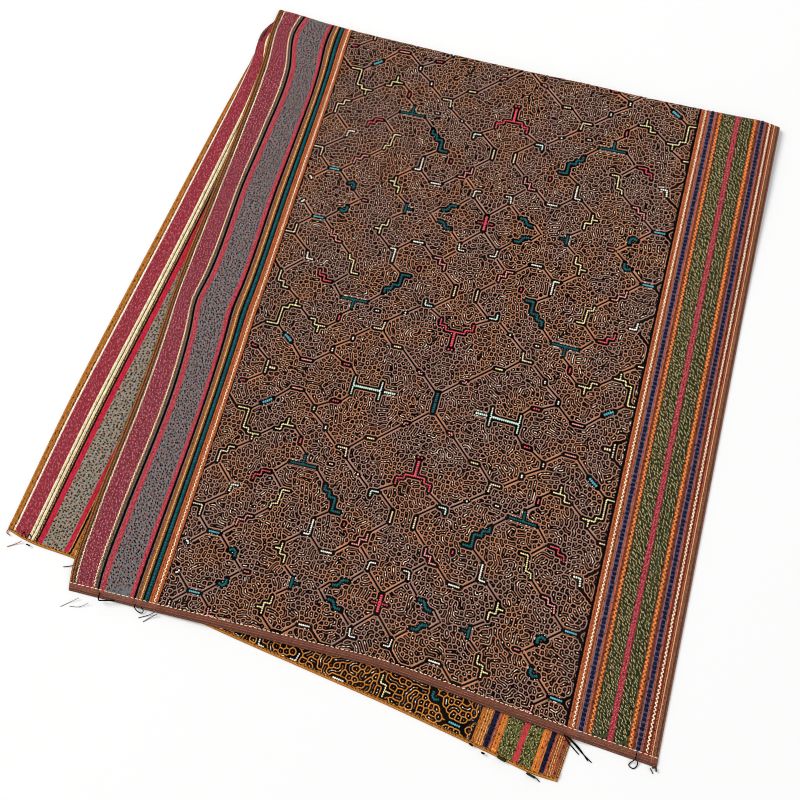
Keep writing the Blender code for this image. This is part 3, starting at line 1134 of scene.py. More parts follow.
LEFT_A = [
    Stripe(0.0, "5A3A26", "2A1C16"),
    Stripe(4.7, "6A5040", "3A2A22"),
    Stripe(9.2, "763038", "A45864"),
    Stripe(28.9, "7A5034", "3A2820"),
    Stripe(31.5, "5C4C40", "2E2824"),
    Stripe(34.2, "141214", "2A2626"),
    Stripe(36.6, "6A5A54", "8A7A70"),
    Stripe(37.4, "AC3A44", "702A30"),
    Stripe(42.7, "6A6868", "3C4246"),
    Stripe(71.5, "AC3A44", "702A30"),
    Stripe(76.2, "141214", "2A2626"),
    Stripe(78.8, "8A5C30", "4A3420"),
    Stripe(86.4, "3A2A1E", "141214"),
    Stripe(87.4, "141214", "2A2626"),
    Stripe(88.8, "10484C", "0A2C30"),
    Stripe(92.6, "141214", "3A2A20"),
    Stripe(93.9, "9A5236", "5A2C1E"),
    Stripe(104.5, "141214", "2A2626"),
]
RIGHT_A = [
    Stripe(563.2, "141214", "2A2626"),
    Stripe(565.8, "9A5236", "4A241A"),
    Stripe(575.5, "7C6068", "4A3A44"),
    Stripe(576.9, "524656", "2A2638"),
    Stripe(581.6, "7C6068", "4A3A44"),
    Stripe(582.6, "884432", "3E1C16"),
    Stripe(586.8, "6A4030", "241614"),
    Stripe(591.1, "42442E", "1C2014"),
    Stripe(607.0, "98303A", "5A1C24"),
    Stripe(612.8, "42442E", "1C2014"),
    Stripe(627.8, "7A4430", "3A2018"),
    Stripe(633.4, "7A3A30", "3E1C18"),
    Stripe(635.7, "7C6068", "4A3A44"),
    Stripe(636.6, "524656", "2A2638"),
    Stripe(641.1, "7C6068", "4A3A44"),
    Stripe(642.0, "783428", "361614"),
    Stripe(652.6, "C89878", "A87050"),
    Stripe(653.6, "6A3A2C", "3E221C"),
    Stripe(654.7, "A87050", "7A4C38"),
    Stripe(655.3, "6E4634", "4A2E22"),
]
LEFT_B = [
    Stripe(0.0, "A0662C", "4A3018"),
    Stripe(6.6, "6A2834", "4A1C24"),
    Stripe(7.7, "F4E4C4", "D8B890"),
    Stripe(9.5, "842C34", "AC5860"),
    Stripe(27.2, "E8D8B0", "B8A880"),
    Stripe(29.8, "5A5038", "3A3424"),
    Stripe(31.2, "E8D8B0", "B8A880"),
    Stripe(34.0, "5A4630", "181416"),
    Stripe(37.0, "181416", "4A4040"),
    Stripe(38.4, "B42C3C", "7A2030"),
    Stripe(44.2, "84847A", "5C6460"),
    Stripe(69.6, "B42C3C", "7A2030"),
    Stripe(74.8, "B08850", "7A5A34"),
    Stripe(76.0, "181416", "3A3230"),
    Stripe(78.3, "B87830", "6A4420"),
    Stripe(85.2, "181416", "4A4040"),
    Stripe(87.8, "10484C", "0A2C30"),
    Stripe(91.6, "181416", "4A4040"),
    Stripe(92.8, "C8762E", "6A3C20"),
    Stripe(101.9, "181416", "4A4040"),
]
RIGHT_B = [
    Stripe(563.0, "181416", "4A4040"),
    Stripe(570.0, "A8622C", "5A3018"),
    Stripe(582.1, "26263A", "141420"),
    Stripe(587.4, "8A4E30", "3A2018"),
    Stripe(591.1, "B8702E", "6A3C20"),
    Stripe(597.0, "5A5830", "24240E"),
    Stripe(612.8, "B83C3C", "6A2424"),
    Stripe(618.4, "5A5830", "24240E"),
    Stripe(632.0, "C8762E", "6A3C20"),
    Stripe(639.8, "26263A", "141420"),
    Stripe(644.3, "8A4A2C", "4A2818"),
    Stripe(655.5, "6A4028", "3A2418"),
]

# Where the ground's colours change from a band to the field and back, and face B's narrower hem
LEFT_BAND_END = 0.1045
RIGHT_BAND_START = 0.563
HEM_WIDTH_B = 0.004


class Ground(NamedTuple):
    """The looks of one face of the cloth: its bands' stripes, its hidden lines and its hem."""

    name: str
    face: int
    left: list
    right: list
    hidden_line: str
    hem: str
    lip: str
    hem_width: float


GROUND_A = Ground(
    name="ground_a",
    face=FACE_A,
    left=LEFT_A,
    right=RIGHT_A,
    hidden_line="9A6244",
    hem="7E4A3C",
    lip="5C3A32",
    hem_width=HEM_WIDTH,
)
GROUND_B = Ground(
    name="ground_b",
    face=FACE_B,
    left=LEFT_B,
    right=RIGHT_B,
    hidden_line="A87038",
    hem="A8702E",
    lip="A86E28",
    hem_width=HEM_WIDTH_B,
)

ROUGHNESS = 0.85

# The sockets for colours of Blender's mix node
MIX_SHARE, MIX_FIRST, MIX_SECOND = 0, 6, 7
MIX_RESULT = 2


class Nodes:
    """A material's nodes, added one after the other."""

    def __init__(self, name):
        self.material = bpy.data.materials.new(name)
        self.material.use_nodes = True
        self.tree = self.material.node_tree
        self.shader = self.tree.nodes["Principled BSDF"]
        self.shader.inputs["Roughness"].default_value = ROUGHNESS
        self.shader.inputs["Specular IOR Level"].default_value = 0.0

    def add(self, kind, settings=None, **inputs):
        """A node with some of its settings and inputs. An input is a value or another node's output.

        An input is named as its socket is, or "i0", "i1" and so on for the first socket and the next.
        """
        node = self.tree.nodes.new(kind)
        for name, value in (settings or {}).items():
            setattr(node, name, value)
        for name, value in inputs.items():
            socket = node.inputs[int(name[1:])] if name[1:].isdigit() else node.inputs[name]
            self.connect(value, socket)
        return node

    def connect(self, value, socket):
        """Links an output to a socket, or sets the socket's value."""
        if isinstance(value, bpy.types.NodeSocket):
            self.tree.links.new(value, socket)
        else:
            socket.default_value = value

    def math(self, operation, first, second=0.0, third=0.0):
        """The result of one sum."""
        inputs = {"i0": first, "i1": second, "i2": third}
        return self.add("ShaderNodeMath", {"operation": operation}, **inputs).outputs[0]

    def mix(self, share, first, second, blend="MIX"):
        """One colour mixed into another."""
        node = self.tree.nodes.new("ShaderNodeMix")
        node.data_type = "RGBA"
        node.blend_type = blend
        self.connect(share, node.inputs[MIX_SHARE])
        self.connect(first, node.inputs[MIX_FIRST])
        self.connect(second, node.inputs[MIX_SECOND])
        return node.outputs[MIX_RESULT]

    def shaded(self, colour, shade):
        """A colour made darker or lighter."""
        grey = self.add("ShaderNodeCombineColor", Red=shade, Green=shade, Blue=shade)
        return self.mix(1.0, colour, grey.outputs["Color"], "MULTIPLY")

    def noise(self, vector, scale, detail=2.0):
        """Soft noise from 0 to 1 at some places."""
        node = self.add("ShaderNodeTexNoise", Vector=vector, Scale=scale, Detail=detail)
        return node.outputs["Fac"]

    def threshold(self, value, start, end):
        """0 up to start and 1 from end on."""
        node = self.add("ShaderNodeMapRange", {"interpolation_type": "SMOOTHSTEP"}, Value=value)
        node.inputs["From Min"].default_value = start
        node.inputs["From Max"].default_value = end
        return node.outputs["Result"]

    def bump(self, height, distance, strength):
        """Small relief on the shader's surface."""
        node = self.add("ShaderNodeBump", Height=height, Distance=distance, Strength=strength)
        self.connect(node.outputs["Normal"], self.shader.inputs["Normal"])


def stripe_ramp(nodes, across, stripes, flecks, end):
    """The colour of each stripe of a band, or of its flecks."""
    start = stripes[0].start * MM
    place = nodes.math("DIVIDE", nodes.math("SUBTRACT", across, start), end - start)
    node = nodes.add("ShaderNodeValToRGB", Fac=place)
    ramp = node.color_ramp
    ramp.interpolation = "CONSTANT"
    for number, stripe in enumerate(stripes):
        at = (stripe.start * MM - start) / (end - start)
        stop = ramp.elements[number] if number < 2 else ramp.elements.new(at)
        stop.position = at
        stop.color = from_hex(stripe.fleck if flecks else stripe.colour)
    return node.outputs["Color"]


# The ground's colours. Scales are per metre, and edges are the values where a look starts and is full.
STITCH_SCALE = (700.0, 420.0, 1.0)
FLECK_SCALE = (520.0, 300.0, 1.0)
FLECK_EDGES = (0.58, 0.66)
EDGE_WOBBLE = 0.9 * MM
FIELD_BLACK = "0A0808"
FIELD_DARK_BROWN = "181210"
FIELD_PATCH_SCALE = 26.0
FIELD_PATCH_EDGES = (0.35, 0.65)
HIDDEN_LINE_SCALE = 46.0
HIDDEN_LINE_COUNT = 5.0
HIDDEN_LINE_EDGES = (0.24, 0.28)
HEM_COVER = 0.72
STITCH_SHADE = 0.7
DARKEST_SHADE = 0.65
GROUND_RELIEF = 0.5 * MM
GROUND_BUMP = 0.8


def stretched_noise(nodes, flat, scale, detail):
    """Noise in grains that are longer along the cloth than across it."""
    places = nodes.add("ShaderNodeVectorMath", {"operation": "MULTIPLY"}, i0=flat, i1=scale)
    return nodes.noise(places.outputs["Vector"], 1.0, detail)


def band_colour(nodes, ground, across, is_fleck):
    """The colour of the two bands: each stripe's, or its flecks'."""
    at_right = nodes.math("GREATER_THAN", across, CLOTH_WIDTH / 2)
    colours = []
    for flecks in (False, True):
        on_left = stripe_ramp(nodes, across, ground.left, flecks, LEFT_BAND_END)
        on_right = stripe_ramp(nodes, across, ground.right, flecks, CLOTH_WIDTH)
        colours.append(nodes.mix(at_right, on_left, on_right))
    return nodes.mix(is_fleck, *colours)


def hidden_lines(nodes, flat):
    """A labyrinth of light lines in colour alone, for the faces that lie out of sight."""
    swirl = nodes.noise(flat, HIDDEN_LINE_SCALE, detail=1.0)
    wave = nodes.math("PINGPONG", nodes.math("MULTIPLY", swirl, HIDDEN_LINE_COUNT * 2), 0.5)
    return nodes.threshold(wave, *HIDDEN_LINE_EDGES)


def field_colour(nodes, ground, flat, across, along):
    """The colour of the field: near black, with drawn lines where it lies out of sight."""
    patches = nodes.threshold(nodes.noise(flat, FIELD_PATCH_SCALE, detail=3.0), *FIELD_PATCH_EDGES)
    colour = nodes.mix(patches, from_hex(FIELD_BLACK), from_hex(FIELD_DARK_BROWN))
    if ground.face == FACE_A:
        past = nodes.math("MULTIPLY_ADD", across, -math.tan(FOLD_TILT), along)
        out_of_sight = nodes.math("GREATER_THAN", past, FOLD_AT_LEFT_EDGE + 2 * HALF_BEND)
    else:
        out_of_sight = nodes.math("LESS_THAN", along, LOWER_FIELD.first * MM)
    lines = nodes.math("MULTIPLY", hidden_lines(nodes, flat), out_of_sight)
    return nodes.mix(lines, colour, from_hex(ground.hidden_line))


def hem_colour(nodes, ground, along, wobble, colour):
    """The colour with the turned hem over it, at the end where this face is up."""
    from_hem = along if ground.face == FACE_A else nodes.math("SUBTRACT", CLOTH_LENGTH, along)
    from_hem = nodes.math("ADD", from_hem, wobble)
    in_hem = nodes.math("LESS_THAN", from_hem, ground.hem_width)
    colour = nodes.mix(nodes.math("MULTIPLY", in_hem, HEM_COVER), colour, from_hex(ground.hem))
    on_lip = nodes.math("LESS_THAN", from_hem, HEM_LIP)
    return nodes.mix(on_lip, colour, from_hex(ground.lip))


def ground_material(ground):
    """A face of the ground: a field between two striped bands, with flecks and small stitches."""
    nodes = Nodes(ground.name)
    flat = nodes.add("ShaderNodeUVMap", {"uv_map": "flat"}).outputs["UV"]
    across, along = nodes.add("ShaderNodeSeparateXYZ", Vector=flat).outputs[:2]
    stitch = stretched_noise(nodes, flat, STITCH_SCALE, detail=1.0)
    is_fleck = nodes.threshold(stretched_noise(nodes, flat, FLECK_SCALE, detail=0.0), *FLECK_EDGES)
    wobble = nodes.math("MULTIPLY_ADD", stitch, EDGE_WOBBLE, -EDGE_WOBBLE / 2)
    wobbled = nodes.math("ADD", across, wobble)
    band = band_colour(nodes, ground, wobbled, is_fleck)
    field = field_colour(nodes, ground, flat, across, along)
    past_left = nodes.math("GREATER_THAN", wobbled, LEFT_BAND_END)
    in_field = nodes.math("MULTIPLY", past_left, nodes.math("LESS_THAN", wobbled, RIGHT_BAND_START))
    colour = hem_colour(nodes, ground, along, wobble, nodes.mix(in_field, band, field))
    shade = nodes.math("MULTIPLY_ADD", stitch, STITCH_SHADE, DARKEST_SHADE)
    nodes.connect(nodes.shaded(colour, shade), nodes.shader.inputs["Base Color"])
    nodes.bump(stitch, GROUND_RELIEF, GROUND_BUMP)
    return nodes.material


# The threads' colours, with painted shade on their sides and in the grooves between their plies
FIBRE_SCALE = 2600.0
PLY_PITCH = 1.3 * MM
PLY_SLANT = 0.35
SPECK_SCALE = 420.0
SPECK_SHIFT = 0.37
SPECK_EDGES = (0.55, 0.62)
# The pale specks are painted sheen highlights on the enclosed lines' thread
PALE_SHEEN_SPECK = "F0E4D0"
DULL_BROWN = "A47E70"
DULL_PATCH_SCALE = 22.0
DULL_PATCH_EDGES = (0.4, 0.6)
PLAIN_SHADE = 0.47
FIBRE_SHADE = 0.5
ISLAND_SHADE = 0.4
# Painted shade: how much darker a thread is in the grooves between its plies
PLY_PAINTED_SHADE = 0.3
# Painted shade: how much darker a thread is towards its sides, as on a round cord lit from above
SIDE_PAINTED_SHADE = -0.5
THREAD_RELIEF = 0.2 * MM
THREAD_BUMP = 0.7


def sheen_speckled(nodes, colour, along, island):
    """A thread's colour with pale specks along it: painted sheen highlights on the thread."""
    places = nodes.math("MULTIPLY_ADD", island, SPECK_SHIFT, along)
    places = nodes.add("ShaderNodeCombineXYZ", X=places, Y=island).outputs["Vector"]
    sheen_speck = nodes.threshold(nodes.noise(places, SPECK_SCALE, detail=0.0), *SPECK_EDGES)
    return nodes.mix(sheen_speck, colour, from_hex(PALE_SHEEN_SPECK))


def thread_material(name):
    """Matt cotton thread, twisted from two plies and uneven from stitch to stitch, with painted shade on
    its sides and in the grooves between its plies.
    """
    nodes = Nodes("thread_" + name.replace(" ", "_"))
    thread = nodes.add("ShaderNodeUVMap", {"uv_map": "thread"}).outputs["UV"]
    along, side = nodes.add("ShaderNodeSeparateXYZ", Vector=thread).outputs[:2]
    place = nodes.add("ShaderNodeTexCoord").outputs["Object"]
    island = nodes.add("ShaderNodeNewGeometry").outputs["Random Per Island"]
    slant = nodes.math("MULTIPLY_ADD", side, PLY_SLANT * PLY_PITCH, along)
    ply = nodes.math("DIVIDE", nodes.math("PINGPONG", slant, PLY_PITCH), PLY_PITCH)
    fibre = nodes.noise(place, FIBRE_SCALE)
    shade = nodes.math("MULTIPLY_ADD", fibre, FIBRE_SHADE, PLAIN_SHADE)
    shade = nodes.math("MULTIPLY_ADD", island, ISLAND_SHADE, shade)
    # Painted shade, darker in the grooves between the plies
    shade = nodes.math("MULTIPLY_ADD", ply, PLY_PAINTED_SHADE, shade)
    # Painted shade, darker towards the thread's sides
    shade = nodes.math("MULTIPLY_ADD", nodes.math("MULTIPLY", side, side), SIDE_PAINTED_SHADE, shade)
    colour = from_hex(THREADS[name])
    if name == "brown":
        patch = nodes.threshold(nodes.noise(place, DULL_PATCH_SCALE), *DULL_PATCH_EDGES)
        colour = nodes.mix(patch, colour, from_hex(DULL_BROWN))
    colour = nodes.shaded(colour, shade)
    # Painted sheen highlights: pale specks along the enclosed lines
    if name == "sheen_speckled":
        colour = sheen_speckled(nodes, colour, along, island)
    nodes.connect(colour, nodes.shader.inputs["Base Color"])
    nodes.bump(nodes.math("ADD", fibre, ply), THREAD_RELIEF, THREAD_BUMP)
    return nodes.material


# Rows and scattered stitches of the bands

class Row(NamedTuple):
    """A row of stitches along a band, in millimetres and degrees. "zigzag" mirrors every other one."""

    across: float
    colour: str
    pitch: float
    length: float
    width: float
    turn: float = 0
    zigzag: bool = False


class Fill(NamedTuple):
    """Stitches scattered over a stripe, in millimetres and degrees. "room" is each one's area."""

    start: float
    end: float
    colour: str
    room: float
    length: float
    width: float
    turn: float
    spread: float


LEFT_ROWS_A = [
    Row(1.7, "ochre", pitch=2.4, length=3.0, width=1.3, turn=20),
    Row(3.2, "dark brown", pitch=2.6, length=3.0, width=1.0, turn=10),
    Row(4.6, "terracotta", pitch=2.6, length=2.8, width=1.2, turn=20),
    Row(6.2, "black", pitch=2.8, length=2.6, width=0.8),
    Row(8.4, "cream", pitch=1.95, length=3.1, width=1.3, turn=42, zigzag=True),
    Row(30.0, "cream", pitch=1.95, length=3.1, width=1.3, turn=42, zigzag=True),
    Row(31.9, "umber", pitch=2.6, length=2.8, width=1.2, turn=15),
    Row(33.4, "ash", pitch=3.2, length=2.6, width=0.7),
    Row(35.5, "black", pitch=2.6, length=3.6, width=2.3),
    Row(77.4, "black", pitch=2.6, length=3.6, width=2.0),
    Row(79.6, "ash", pitch=2.8, length=2.8, width=0.8),
    Row(81.0, "umber", pitch=2.6, length=2.8, width=1.3, turn=20),
    Row(82.6, "terracotta", pitch=2.6, length=2.8, width=1.1, turn=10),
    Row(84.4, "sand", pitch=2.4, length=3.1, width=1.6, turn=25),
    Row(85.6, "umber", pitch=2.6, length=2.8, width=1.0, turn=10),
    Row(87.6, "black", pitch=2.8, length=3.4, width=1.5),
    Row(90.6, "teal", pitch=3.1, length=3.0, width=2.9, turn=25),
    Row(95.4, "terracotta", pitch=2.4, length=3.2, width=1.8, turn=15),
    Row(98.0, "terracotta", pitch=2.4, length=3.2, width=1.8, turn=-15),
    Row(100.6, "cream", pitch=2.2, length=3.6, width=1.5, turn=46, zigzag=True),
    Row(102.5, "terracotta", pitch=2.4, length=3.2, width=1.7, turn=15),
    Row(103.9, "terracotta", pitch=2.4, length=3.2, width=1.4, turn=-15),
    Row(105.4, "black", pitch=2.4, length=3.2, width=2.2),
]
RIGHT_ROWS_A = [
    Row(564.6, "black", pitch=2.4, length=3.2, width=2.2),
    Row(567.0, "terracotta", pitch=2.4, length=3.0, width=1.6, turn=20),
    Row(569.0, "terracotta", pitch=2.6, length=2.6, width=1.2, turn=-20),
    Row(571.1, "cream", pitch=2.15, length=3.7, width=1.5, turn=47, zigzag=True),
    Row(573.6, "dark brown", pitch=2.8, length=2.4, width=0.9, turn=-20),
    Row(575.0, "terracotta", pitch=2.4, length=3.0, width=1.4, turn=-20),
    Row(579.5, "navy", pitch=4.8, length=4.5, width=3.9),
    Row(583.9, "rust", pitch=2.4, length=3.0, width=1.5, turn=20),
    Row(585.6, "dark brown", pitch=2.6, length=2.4, width=1.0, turn=-20),
    Row(588.9, "orange", pitch=2.45, length=4.7, width=1.9, turn=54, zigzag=True),
    Row(591.9, "dark brown", pitch=2.4, length=2.2, width=0.9, turn=40),
    Row(630.6, "orange", pitch=2.45, length=4.7, width=2.1, turn=54, zigzag=True),
    Row(634.2, "dark brown", pitch=2.6, length=2.6, width=1.0, turn=20),
    Row(639.0, "navy", pitch=4.8, length=4.5, width=3.9),
    Row(643.2, "rust", pitch=2.4, length=2.8, width=1.3, turn=20),
    Row(645.0, "dark brown", pitch=2.8, length=2.4, width=1.1, turn=-20),
    Row(647.8, "cream", pitch=2.15, length=3.9, width=1.5, turn=50, zigzag=True),
    Row(650.2, "dark brown", pitch=2.6, length=2.4, width=1.0, turn=40),
    Row(651.6, "rust", pitch=2.6, length=2.6, width=1.1, turn=20),
    Row(653.2, "sand", pitch=3.2, length=3.2, width=0.7),
    Row(655.0, "umber", pitch=3.0, length=3.2, width=0.8),
    Row(656.4, "umber", pitch=3.0, length=3.8, width=1.6, turn=8),
    Row(657.9, "dark brown", pitch=3.2, length=3.4, width=1.0, turn=-8),
    Row(659.2, "umber", pitch=2.6, length=3.4, width=1.5, turn=10),
]
# Where the wide stripes that stitches fill start and end, in millimetres
MAROON_STRIPE_A = (10.1, 28.2)
GREY_STRIPE_A = (43.4, 71.1)
GREY_STRIPE_B = (44.7, 69.3)
RED_STRIPES_A = [(37.7, 42.3), (71.9, 75.7)]
OLIVE_STRIPES_A = [(591.7, 606.8), (613.2, 627.4)]

LEFT_FILLS_A = [
    Fill(*MAROON_STRIPE_A, "maroon", room=7.5, length=2.4, width=1.2, turn=35, spread=10),
    Fill(*MAROON_STRIPE_A, "rose", room=15, length=2.4, width=0.8, turn=-30, spread=14),
    Fill(*MAROON_STRIPE_A, "dark brown", room=10, length=2.4, width=0.8, turn=40, spread=14),
    Fill(*RED_STRIPES_A[0], "red", room=6, length=3.0, width=1.2, turn=20, spread=8),
    Fill(*GREY_STRIPE_A, "black", room=13, length=2.6, width=1.6, turn=-35, spread=14),
    Fill(*GREY_STRIPE_A, "ash", room=12, length=2.6, width=1.0, turn=-35, spread=14),
    Fill(*GREY_STRIPE_A, "rust", room=17, length=2.8, width=0.9, turn=20, spread=40),
    Fill(*RED_STRIPES_A[1], "red", room=6, length=3.0, width=1.2, turn=20, spread=8),
    *[
        Fill(*stripe, "rose", room=14, length=2.2, width=0.7, turn=30, spread=10)
        for stripe in RED_STRIPES_A
    ],
]
RIGHT_FILLS_A = [
    Fill(*OLIVE_STRIPES_A[0], "khaki", room=10, length=3.4, width=1.3, turn=-40, spread=14),
    Fill(*OLIVE_STRIPES_A[0], "moss", room=8, length=3.4, width=1.6, turn=-40, spread=14),
    Fill(607.4, 612.6, "red", room=6, length=2.6, width=1.2, turn=25, spread=10),
    Fill(607.4, 612.6, "rose", room=12, length=2.4, width=0.7, turn=35, spread=12),
    Fill(*OLIVE_STRIPES_A[1], "khaki", room=10, length=3.4, width=1.3, turn=-40, spread=14),
    Fill(*OLIVE_STRIPES_A[1], "moss", room=8, length=3.4, width=1.6, turn=-40, spread=14),
    *[
        Fill(*stripe, "rust", room=34, length=2.2, width=0.8, turn=-40, spread=14)
        for stripe in OLIVE_STRIPES_A
    ],
]
LEFT_ROWS_B = [
    Row(1.6, "ochre", pitch=2.4, length=3.2, width=1.8, turn=20),
    Row(5.3, "ochre", pitch=2.4, length=3.2, width=1.6, turn=20),
    Row(8.8, "white", pitch=3.2, length=3.8, width=1.3),
    Row(28.6, "cream", pitch=3.4, length=4.2, width=1.9, turn=8),
    Row(32.6, "cream", pitch=3.4, length=4.2, width=1.9, turn=-8),
    Row(36.0, "sand", pitch=3.4, length=2.2, width=0.8, turn=20),
    Row(37.7, "black", pitch=3.0, length=3.6, width=1.2),
    Row(76.9, "black", pitch=2.8, length=3.6, width=1.8),
    Row(79.6, "ochre", pitch=2.6, length=3.2, width=1.8, turn=20),
    Row(83.1, "sand", pitch=2.6, length=3.0, width=1.4, turn=20),
    Row(89.7, "teal", pitch=3.1, length=3.0, width=2.9, turn=25),
    Row(97.4, "cream", pitch=2.2, length=3.6, width=1.5, turn=46, zigzag=True),
]
RIGHT_ROWS_B = [
    Row(573.0, "ochre", pitch=2.4, length=3.0, width=1.6, turn=20),
    *[Row(across, "sand", pitch=3.0, length=3.3, width=0.9) for across in (575.6, 578.0, 580.4)],
    Row(585.0, "navy", pitch=4.8, length=4.5, width=3.7),
    Row(585.0, "blue", pitch=4.8, length=1.2, width=0.9),
    Row(589.2, "rust", pitch=2.4, length=3.0, width=1.6, turn=20),
    Row(592.0, "orange", pitch=3.0, length=3.6, width=1.5, turn=8),
    Row(595.0, "orange", pitch=3.0, length=3.6, width=1.5, turn=-8),
    Row(634.5, "orange", pitch=3.0, length=3.6, width=1.8, turn=8),
    Row(637.9, "rust", pitch=2.4, length=3.0, width=1.6, turn=20),
    Row(642.3, "navy", pitch=4.8, length=4.5, width=3.7),
    Row(642.3, "blue", pitch=4.8, length=1.2, width=0.9),
    Row(646.1, "rust", pitch=2.4, length=3.0, width=1.6, turn=20),
    *[Row(across, "sand", pitch=3.0, length=3.3, width=0.9) for across in (649.0, 651.0)],
    Row(653.2, "rust", pitch=2.4, length=3.0, width=1.6, turn=-20),
    Row(656.8, "umber", pitch=3.0, length=3.8, width=1.8, turn=8),
    Row(658.7, "ochre", pitch=2.4, length=3.0, width=1.6, turn=35),
]
FILLS_B = [
    Fill(10.2, 26.6, "maroon", room=7.5, length=2.4, width=1.2, turn=35, spread=10),
    Fill(10.2, 26.6, "rose", room=24, length=1.6, width=0.8, turn=35, spread=12),
    Fill(39.0, 44.0, "bright red", room=6, length=3.0, width=1.3, turn=10, spread=6),
    Fill(*GREY_STRIPE_B, "sage", room=13, length=2.6, width=1.1, turn=-35, spread=14),
    Fill(*GREY_STRIPE_B, "moss", room=14, length=2.6, width=2.0, turn=20, spread=14),
    Fill(*GREY_STRIPE_B, "terracotta", room=13, length=3.0, width=0.9, turn=-40, spread=40),
    Fill(70.0, 74.4, "bright red", room=6, length=3.0, width=1.3, turn=10, spread=6),
    Fill(597.6, 612.4, "khaki", room=9, length=2.6, width=1.2, turn=0, spread=60),
    Fill(597.6, 612.4, "moss", room=9, length=2.4, width=1.2, turn=0, spread=60),
    Fill(613.2, 618.0, "red", room=6, length=2.6, width=1.3, turn=25, spread=10),
    Fill(618.8, 631.6, "khaki", room=9, length=2.6, width=1.2, turn=0, spread=60),
    Fill(618.8, 631.6, "moss", room=9, length=2.4, width=1.2, turn=0, spread=60),
]


class Band(NamedTuple):
    """The stitches of a band: its rows, its stripes, and the seed of their unevenness."""

    name: str
    rows: list
    fills: list
    seed: int


UPPER_BANDS = [
    Band(name="left_band", rows=LEFT_ROWS_A, fills=LEFT_FILLS_A, seed=11),
    Band(name="right_band", rows=RIGHT_ROWS_A, fills=RIGHT_FILLS_A, seed=12),
]
LOWER_BANDS = Band(name="lower_bands", rows=LEFT_ROWS_B + RIGHT_ROWS_B, fills=FILLS_B, seed=13)
UPPER_STITCHES_FIRST = 12.0
UPPER_STITCHES_LAST = 800.0
LOWER_STITCHES_FIRST = 765.0
LOWER_STITCHES_LAST = (CLOTH_LENGTH - HEM_WIDTH_B) / MM
SHOWS_MARGIN = 0.008

# How uneven the rows are: shares of the pitch along them, millimetres across them, and degrees
ALONG_JITTER = 0.12
ACROSS_JITTER = 0.10
TURN_JITTER = 4
ROW_HEIGHT = 0.25
ROW_HEIGHT_SHARE = 0.16


def row_stitches(row, first, last, random):
    """The stitches of one row, with a little unevenness in their places and directions."""
    along = np.arange(first, last, row.pitch)
    along = along + random.uniform(-ALONG_JITTER, ALONG_JITTER, len(along)) * row.pitch
    turn = np.radians(row.turn + random.normal(0, TURN_JITTER, len(along)))
    if row.zigzag:
        turn[::2] *= -1
    across = row.across + random.normal(0, ACROSS_JITTER, len(along))
    return Stitches(
        across=across * MM,
        along=along * MM,
        turn=turn,
        length=row.length * MM,
        width=row.width * MM,
        height=(ROW_HEIGHT + ROW_HEIGHT_SHARE * row.width) * MM,
        colour=row.colour,
    )


FILL_HEIGHT = 0.32
FILL_JITTER = 0.33
TWILL_SHIFT = 0.5


def fill_stitches(fill, first, last, random):
    """The stitches of one stripe, each near its own place in a twill."""
    pitch = math.sqrt(fill.room)
    columns = max(round((fill.end - fill.start) / pitch), 1)
    row, column = np.indices((int((last - first) / pitch), columns)).reshape(2, -1)
    across = column + 0.5 + random.uniform(-FILL_JITTER, FILL_JITTER, len(column))
    along = row + TWILL_SHIFT * column + random.uniform(-FILL_JITTER, FILL_JITTER, len(row))
    turn = fill.turn + random.uniform(-fill.spread, fill.spread, len(row))
    return Stitches(
        across=(fill.start + across * (fill.end - fill.start) / columns) * MM,
        along=(first + along * pitch) * MM,
        turn=np.radians(turn),
        length=fill.length * MM,
        width=fill.width * MM,
        height=FILL_HEIGHT * MM,
        colour=fill.colour,
    )


def only(stitches, keep):
    """The stitches that a test keeps."""
    chosen = {name: getattr(stitches, name)[keep] for name in ("across", "along", "turn")}
    return stitches._replace(**chosen)


def shows(across, along):
    """Which flat places of the lower layer show past the upper layer's edges, with a margin."""
    x, y, _ = np.moveaxis(middle_surface(across, along), -1, 0)
    left = -read_table(UPPER_LEFT_EDGE_OUT, y) + SHOWS_MARGIN
    hem = read_table(UPPER_HEM_DRAWN_IN, x) + SHOWS_MARGIN
    return (x < left) | (y < hem) | (x > CLOTH_WIDTH - SHOWS_MARGIN)


def band_stitches(band, first, last):
    """All stitches of a band's rows, and then of its stripes."""
    random = np.random.default_rng(band.seed)
    made = [row_stitches(row, first, last, random) for row in band.rows]
    return made + [fill_stitches(fill, first, last, random) for fill in band.fills]


def lower_grains(made):
    """Stitches on face B, where the lower layer shows."""
    shapes = []
    for some in made:
        past = past_the_fold(some.across, some.along)
        seen = shows(some.across, some.along) & (past > HALF_BEND)
        if seen.any():
            shapes.append(grains(only(some, seen), FACE_B))
    return shapes


def make_upper_band(band, materials):
    """One band of the upper layer in two pieces: its rows, and the stitches that fill its stripes."""
    shapes = []
    for some in band_stitches(band, UPPER_STITCHES_FIRST, UPPER_STITCHES_LAST):
        on_top = past_the_fold(some.across, some.along) < HALF_BEND
        shapes.append(grains(only(some, on_top), FACE_A))
    row_count = len(band.rows)
    in_rows = new_piece(f"{band.name}_rows", shapes[:row_count], materials)
    return [in_rows, new_piece(f"{band.name}_fills", shapes[row_count:], materials)]


def make_bands(materials):
    """The stitches of the bands: on the upper layer, and on the lower one where it shows."""
    pieces = []
    for band in UPPER_BANDS:
        pieces += make_upper_band(band, materials)
    lower = lower_grains(band_stitches(LOWER_BANDS, LOWER_STITCHES_FIRST, LOWER_STITCHES_LAST))
    return pieces + [new_piece(LOWER_BANDS.name, lower, materials)]


